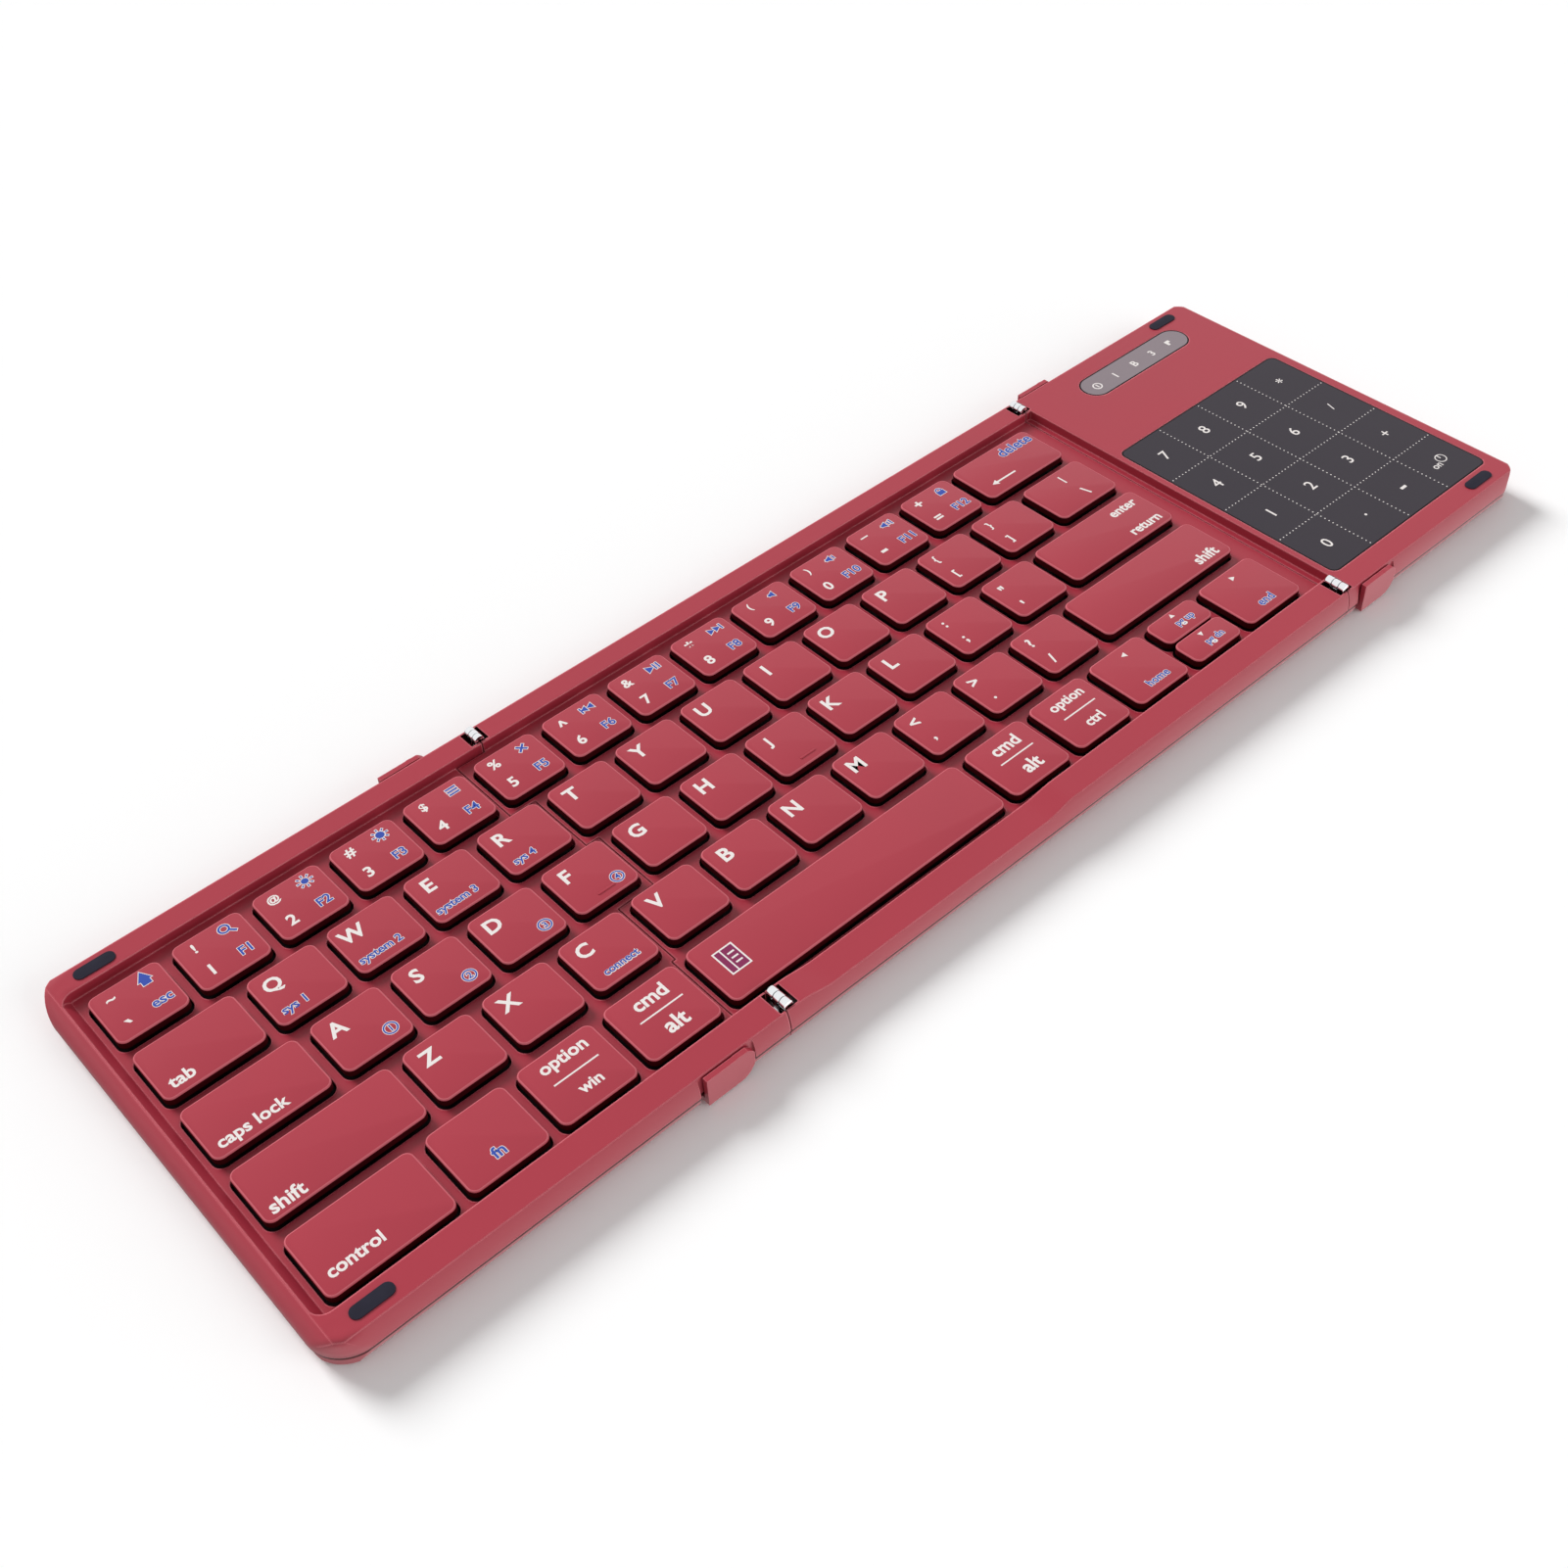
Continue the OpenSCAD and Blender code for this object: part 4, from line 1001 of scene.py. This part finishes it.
def add_hinges(panel, folds, way, places):
    """The leaves of one panel, which lie outwards (1) or inwards (-1) of the fold."""
    bm = bmesh.new()
    for which in folds:
        fold, outward = FOLDS[which]
        for barrel in BARRELS:
            add_leaf(bm, fold, outward * way, places, *barrel)
    return add_piece(panel + "_hinge", bm, [chrome], panel + "_panel",
                     [panel + "_hinge_leaves"])


hinges = [add_hinges("center", ["left", "right"], -1, [0, 2]),
          add_hinges("left", ["left"], 1, [1]), add_hinges("right", ["right"], 1, [1])]
bm = bmesh.new()
for fold, outward in FOLDS.values():
    for start, end, *arm in BARRELS:
        pin = round_bar(*mm(PIN_R, end - start, 0.1), steps=24)
        stamp(bm, pin, mm(fold, start, AXIS_Z))
hinges.append(add_piece("hinge_pin_set", bm, [chrome], "center_panel", ["hinge_pins"]))
for hinge in hinges:
    print(hinge.name, reach_of(hinge))

# %% [markdown]
# ## Touch pad and status window
# The number pad is a touch surface: a dark satin glass with round corners, printed in white with
# dotted lines between the fields. It works as a track pad until its sign is held. The window by
# the back edge is a lozenge of tinted glass over five lamps. Each is a rounded plate. The black
# line round it is painted shade for the gap between glass and case. It could be painted by a mask,
# but an inset of the top follows the corners by itself.

# %% Touch pad and status window
PAD_AT, PAD_W, PAD_D = (136.0, -13.55), 59.6, 64.5
WINDOW_AT, WINDOW_W, WINDOW_D = (139.2, 42.0), 38.5, 8.4
GLASS_T, GLASS_EDGE, GAP_SHADE_LINE = 0.9, 0.06, 0.26


def add_glass(name, spot, width, depth, corner, corner_steps, finish, replaced):
    """A glass plate flush with the case, with a black line of painted shade round its edge."""
    bm = rounded_plate(*mm(width, depth, GLASS_T, corner, GLASS_EDGE), corner_steps, 2)
    top = [f for f in bm.faces if f.normal.z > 0.999]
    bmesh.ops.inset_region(bm, faces=top, thickness=GAP_SHADE_LINE * MM, use_even_offset=True)
    # Painted shade: the rim round the inset top is black, for the gap between glass and case.
    give(bm, 1)
    inner = max((f for f in bm.faces if f.normal.z > 0.999), key=lambda f: f.calc_area())
    inner.material_index = 0
    bmesh.ops.translate(bm, verts=bm.verts, vec=mm(*spot, RIM_Z - GLASS_T))
    return add_piece(name, bm, [finish, black_plastic_and_gap_shade], "right_panel", [replaced])


pad_piece = add_glass("touch_pad", PAD_AT, PAD_W, PAD_D, 2.0, 6, pad_glass,
                      "touch_glass")
window_piece = add_glass("status_window", WINDOW_AT, WINDOW_W, WINDOW_D, WINDOW_D / 2 * 0.999, 12,
                         window_glass, "indicator_window")
print("pad and window:", reach_of(pad_piece), reach_of(window_piece))

# %% Print on the glass
COLUMNS, FIELD_ROWS = [113.7, 128.6, 143.4, 158.3], [10.4, -5.7, -21.9, -37.9]
COLUMN_LINES, ROW_LINES = [120.7, 135.4, 150.8], [2.3, -13.8, -29.7]
FIELDS = ["789*", "456/", "123+", "0.- "]
PAD_SIGN_SIZE = {"+": {"height": 2.0}, "*": {"height": 2.0}, ".": {"height": 0.7},
                 "-": {"width": 1.9}, "/": {"height": 2.6}}
LINE_INSET, DOT_R = 0.9, 0.17


def dots_along(middle, length, count):
    """Places of the dots of a line that ends a little inside the glass."""
    reach = length - 2 * LINE_INSET
    return [middle + reach * (step / (count - 1) - 0.5) for step in range(count)]


sheet = Print(RIM_Z)
for y, row_text in zip(FIELD_ROWS, FIELDS):
    for x, sign in zip(COLUMNS, row_text):
        if sign != " ":
            sheet.text(sign, x, y, bold=0.006, **PAD_SIGN_SIZE.get(sign, {"height": 3.2}))
for x in COLUMN_LINES:
    for y in dots_along(PAD_AT[1], PAD_D, 55):
        sheet.disc(x, y, DOT_R, WHITE, corners=8)
for y in ROW_LINES:
    for x in dots_along(PAD_AT[0], PAD_W, 50):
        sheet.disc(x, y, DOT_R, WHITE, corners=8)
print("the fields have", len(COLUMN_LINES) + len(ROW_LINES), "dotted lines")

# %% Signs on the glass
HOLD_AT = COLUMNS[3], FIELD_ROWS[3]
LAMP_Y, LAMPS = 41.7, {"A": 124.4, "1": 131.3, "B": 138.7, "3": 145.5, "C": 152.4}

sheet.at(*HOLD_AT).ring(0.9, 0.5, 1.5, 0.25, WHITE)
sheet.bar(0.9, 1.2, 0.3, 1.3, WHITE)
sheet.text("on", -2.2, -0.9, height=1.4, bold=0.01)
for sign, x in LAMPS.items():
    sheet.at(x, LAMP_Y)
    if sign == "A":
        sheet.ring(0, 0, 1.35, 0.35, WHITE)
        sheet.bar(0, 0, 0.35, 1.4, WHITE)
    elif sign == "C":
        sheet.bar(-0.2, 0.5, 1.6, 0.9, WHITE)
        sheet.bar(-0.6, -0.4, 0.8, 1.0, WHITE)
    else:
        sheet.text(sign, 0, 0, height=2.3, bold=0.02)
glass_print = add_piece("glass_print", sheet.bm, [white_ink, blue_ink], "right_panel",
                        smooth=False)
print("glass print has", len(glass_print.data.polygons), "faces")

# %% [markdown]
# ## Rubber
# Four bumpers on the rims keep the folded panels apart, and eight feet under the shells keep the
# case from sliding. Both are strips with round ends. A strip could be a box between two cylinders;
# a plate whose corner radius is half its width has no joints to clean up.

# %% Rubber
BUMPER, FOOT = (8.8, 2.85, 0.25, 0.12), (14.0, 4.0, 0.7, 0.15)    # the last is the rim's radius
RIM_BACK, RIM_FRONT, FOOT_Y = 49.15, -48.7, 44.9


def add_rubbers(side, name, spots, size, low, turn, node):
    bm = bmesh.new()
    width, depth, height, edge = size
    for x, y in spots:
        strip = rounded_plate(*mm(width, depth, height, depth / 2 * 0.999, edge), 10)
        bmesh.ops.rotate(strip, verts=strip.verts, matrix=Matrix.Rotation(turn, 3, "X"))
        stamp(bm, strip, mm(x, y, low))
    return add_piece(side + name, bm, [rubber], side + "_panel", [side + node])


def add_bumpers(side, back_x, front_x):
    spots = [(back_x, RIM_BACK), (front_x, RIM_FRONT)]
    return add_rubbers(side, "_bumper_pair", spots, BUMPER, RIM_Z, 0.0, "_bumpers")


def add_feet(side, name, places):
    """Feet hang under the shell, so the rounded rim points down."""
    spots = [(x, y) for x in places for y in (-FOOT_Y, FOOT_Y)]
    return add_rubbers(side, name, spots, FOOT, FOOT[2], math.pi, "_feet")


rubbers = [
    add_bumpers("left", -156.8, -157.3), add_bumpers("right", 158.5, 158.0),
    add_feet("center", "_foot_set", (-52.6, 88.8)), add_feet("left", "_foot_pair", (-149.0,)),
    add_feet("right", "_foot_pair", (153.0,)),
]
for piece in rubbers:
    print(piece.name, reach_of(piece))

# %% [markdown]
# ## Charging socket
# The metal shell of the socket comes with the solids. A plug also needs the thin black tongue in
# its middle, which carries the contacts: five gold strips on each face. The strips could be
# painted on. They are small boxes, half sunk in the tongue, so they also show in its outline.

# %% Tongue of the socket
TONGUE_AT, TONGUE_T, CONTACT = (139.2, 48.8, 4.15), 0.7, (0.5, 3.0, 0.04)
tongue = rounded_plate(*mm(6.0, 5.4, TONGUE_T, 0.5, 0.1))
for strip in range(5):
    for surface in (0.0, TONGUE_T):
        contact = box(*mm(*CONTACT))
        give(contact, 1)
        stamp(tongue, contact, mm(strip - 2, 0.8, surface))
bmesh.ops.translate(tongue, verts=tongue.verts, vec=mm(*TONGUE_AT))
gold = plated("contact_gold", (0.85, 0.62, 0.28), 0.20, 0.08)
tongue_piece = add_piece("socket_tongue", tongue, [black_plastic_and_gap_shade, gold], "right_panel")
print("tongue", reach_of(tongue_piece))

# %% [markdown]
# ## Light and table
# Soft studio light: a wide key light from behind throws a short soft shadow towards the camera, a
# weak fill from the front right lifts the front wall, and an even white room does the rest.
# Together they add up to one, so a colour shows on screen close to the value it was written with.
# Both lights are suns, which light the whole table alike, as near lamps wouldn't. Neither the suns
# nor the table show in reflections, so no hot spot or hard horizon crosses the satin caps.

# %% White room
CARD, DOWN = (0.34, -0.77, 0.0), (0.0, 0.0, -4.0)


def add_room(strength, reflected):
    """White for the camera, a weaker white for the light, and its own level for reflections.

    Reflections from below are brighter towards the front right and darker towards the back left,
    as with a white card lying on one side of a studio table.
    """
    world = bpy.data.worlds.new("white room")
    bpy.context.scene.world = world
    world.use_nodes = True
    world.node_tree.nodes.clear()
    room = Nodes(world.node_tree)
    way = room.node("ShaderNodeTexCoord", {}, output="Generated")
    card, depth = (room.node("ShaderNodeVectorMath", {"operation": "DOT_PRODUCT"}, way, vector,
                             output="Value") for vector in (CARD, DOWN))
    below = depth.math("MAXIMUM", 0.0).math("MINIMUM", 1.0)
    seen, glossy = (room.node("ShaderNodeLightPath", {}, output=kind)
                    for kind in ("Is Camera Ray", "Is Glossy Ray"))
    plain = seen.math("MAXIMUM", strength)
    level = plain + glossy * (card * below + reflected - plain)
    light = room.node("ShaderNodeBackground", {}, (1.0, 1.0, 1.0), level)
    room.feed(room.tree.nodes.new("ShaderNodeOutputWorld").inputs["Surface"], light)
    return world


print("made the", add_room(strength=0.40, reflected=1.0).name)

# %% Lamps and table
TABLE_HALF = 4.0


def add_sun(name, azimuth, height, level, softness):
    """A sun that gives the table this level of light; angles in degrees, azimuth from +X."""
    data = bpy.data.lights.new(name, "SUN")
    data.energy = level * math.pi / math.sin(math.radians(height))
    data.angle = math.radians(softness)
    sun = in_scene(name, data)
    turn, rise = math.radians(azimuth), math.radians(height)
    along = math.cos(rise)
    ahead = Vector((math.cos(turn) * along, math.sin(turn) * along, math.sin(rise)))
    sun.rotation_euler = (-ahead).to_track_quat("-Z", "Y").to_euler()
    sun.visible_glossy = False
    sun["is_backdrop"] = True


def add_table():
    mesh = bpy.data.meshes.new("table")
    bm = bmesh.new()
    bmesh.ops.create_grid(bm, x_segments=1, y_segments=1, size=TABLE_HALF)
    bm.to_mesh(mesh)
    bm.free()
    table = in_scene("table", mesh)
    paint = Paint("white_sweep", IOR=1.3)
    white = paint.mix(paint.noise(400), [0.975] * 3, [0.985] * 3)
    mesh.materials.append(paint.set(Base_Color=white, Roughness=0.9))
    table.visible_glossy = False
    table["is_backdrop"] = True


add_sun("key light", azimuth=97, height=32, level=0.52, softness=24)
add_sun("fill light", azimuth=-66, height=17, level=0.11, softness=50)
add_table()
bpy.context.scene.view_settings.view_transform = "Standard"
print("two suns and a table", 2 * TABLE_HALF, "m wide are in")

# %% [markdown]
# ## Sizes
# The visual model has to stay within the case it dresses, so both boxes are kept in metres and
# printed side by side in millimetres.

# %% Sizes
final_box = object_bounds()
boxes = {"cad": [list(corner) for corner in cad_box],
         "visual": [list(corner) for corner in final_box]}
for name, box in boxes.items():
    print(name, "box in mm:", in_mm(box))
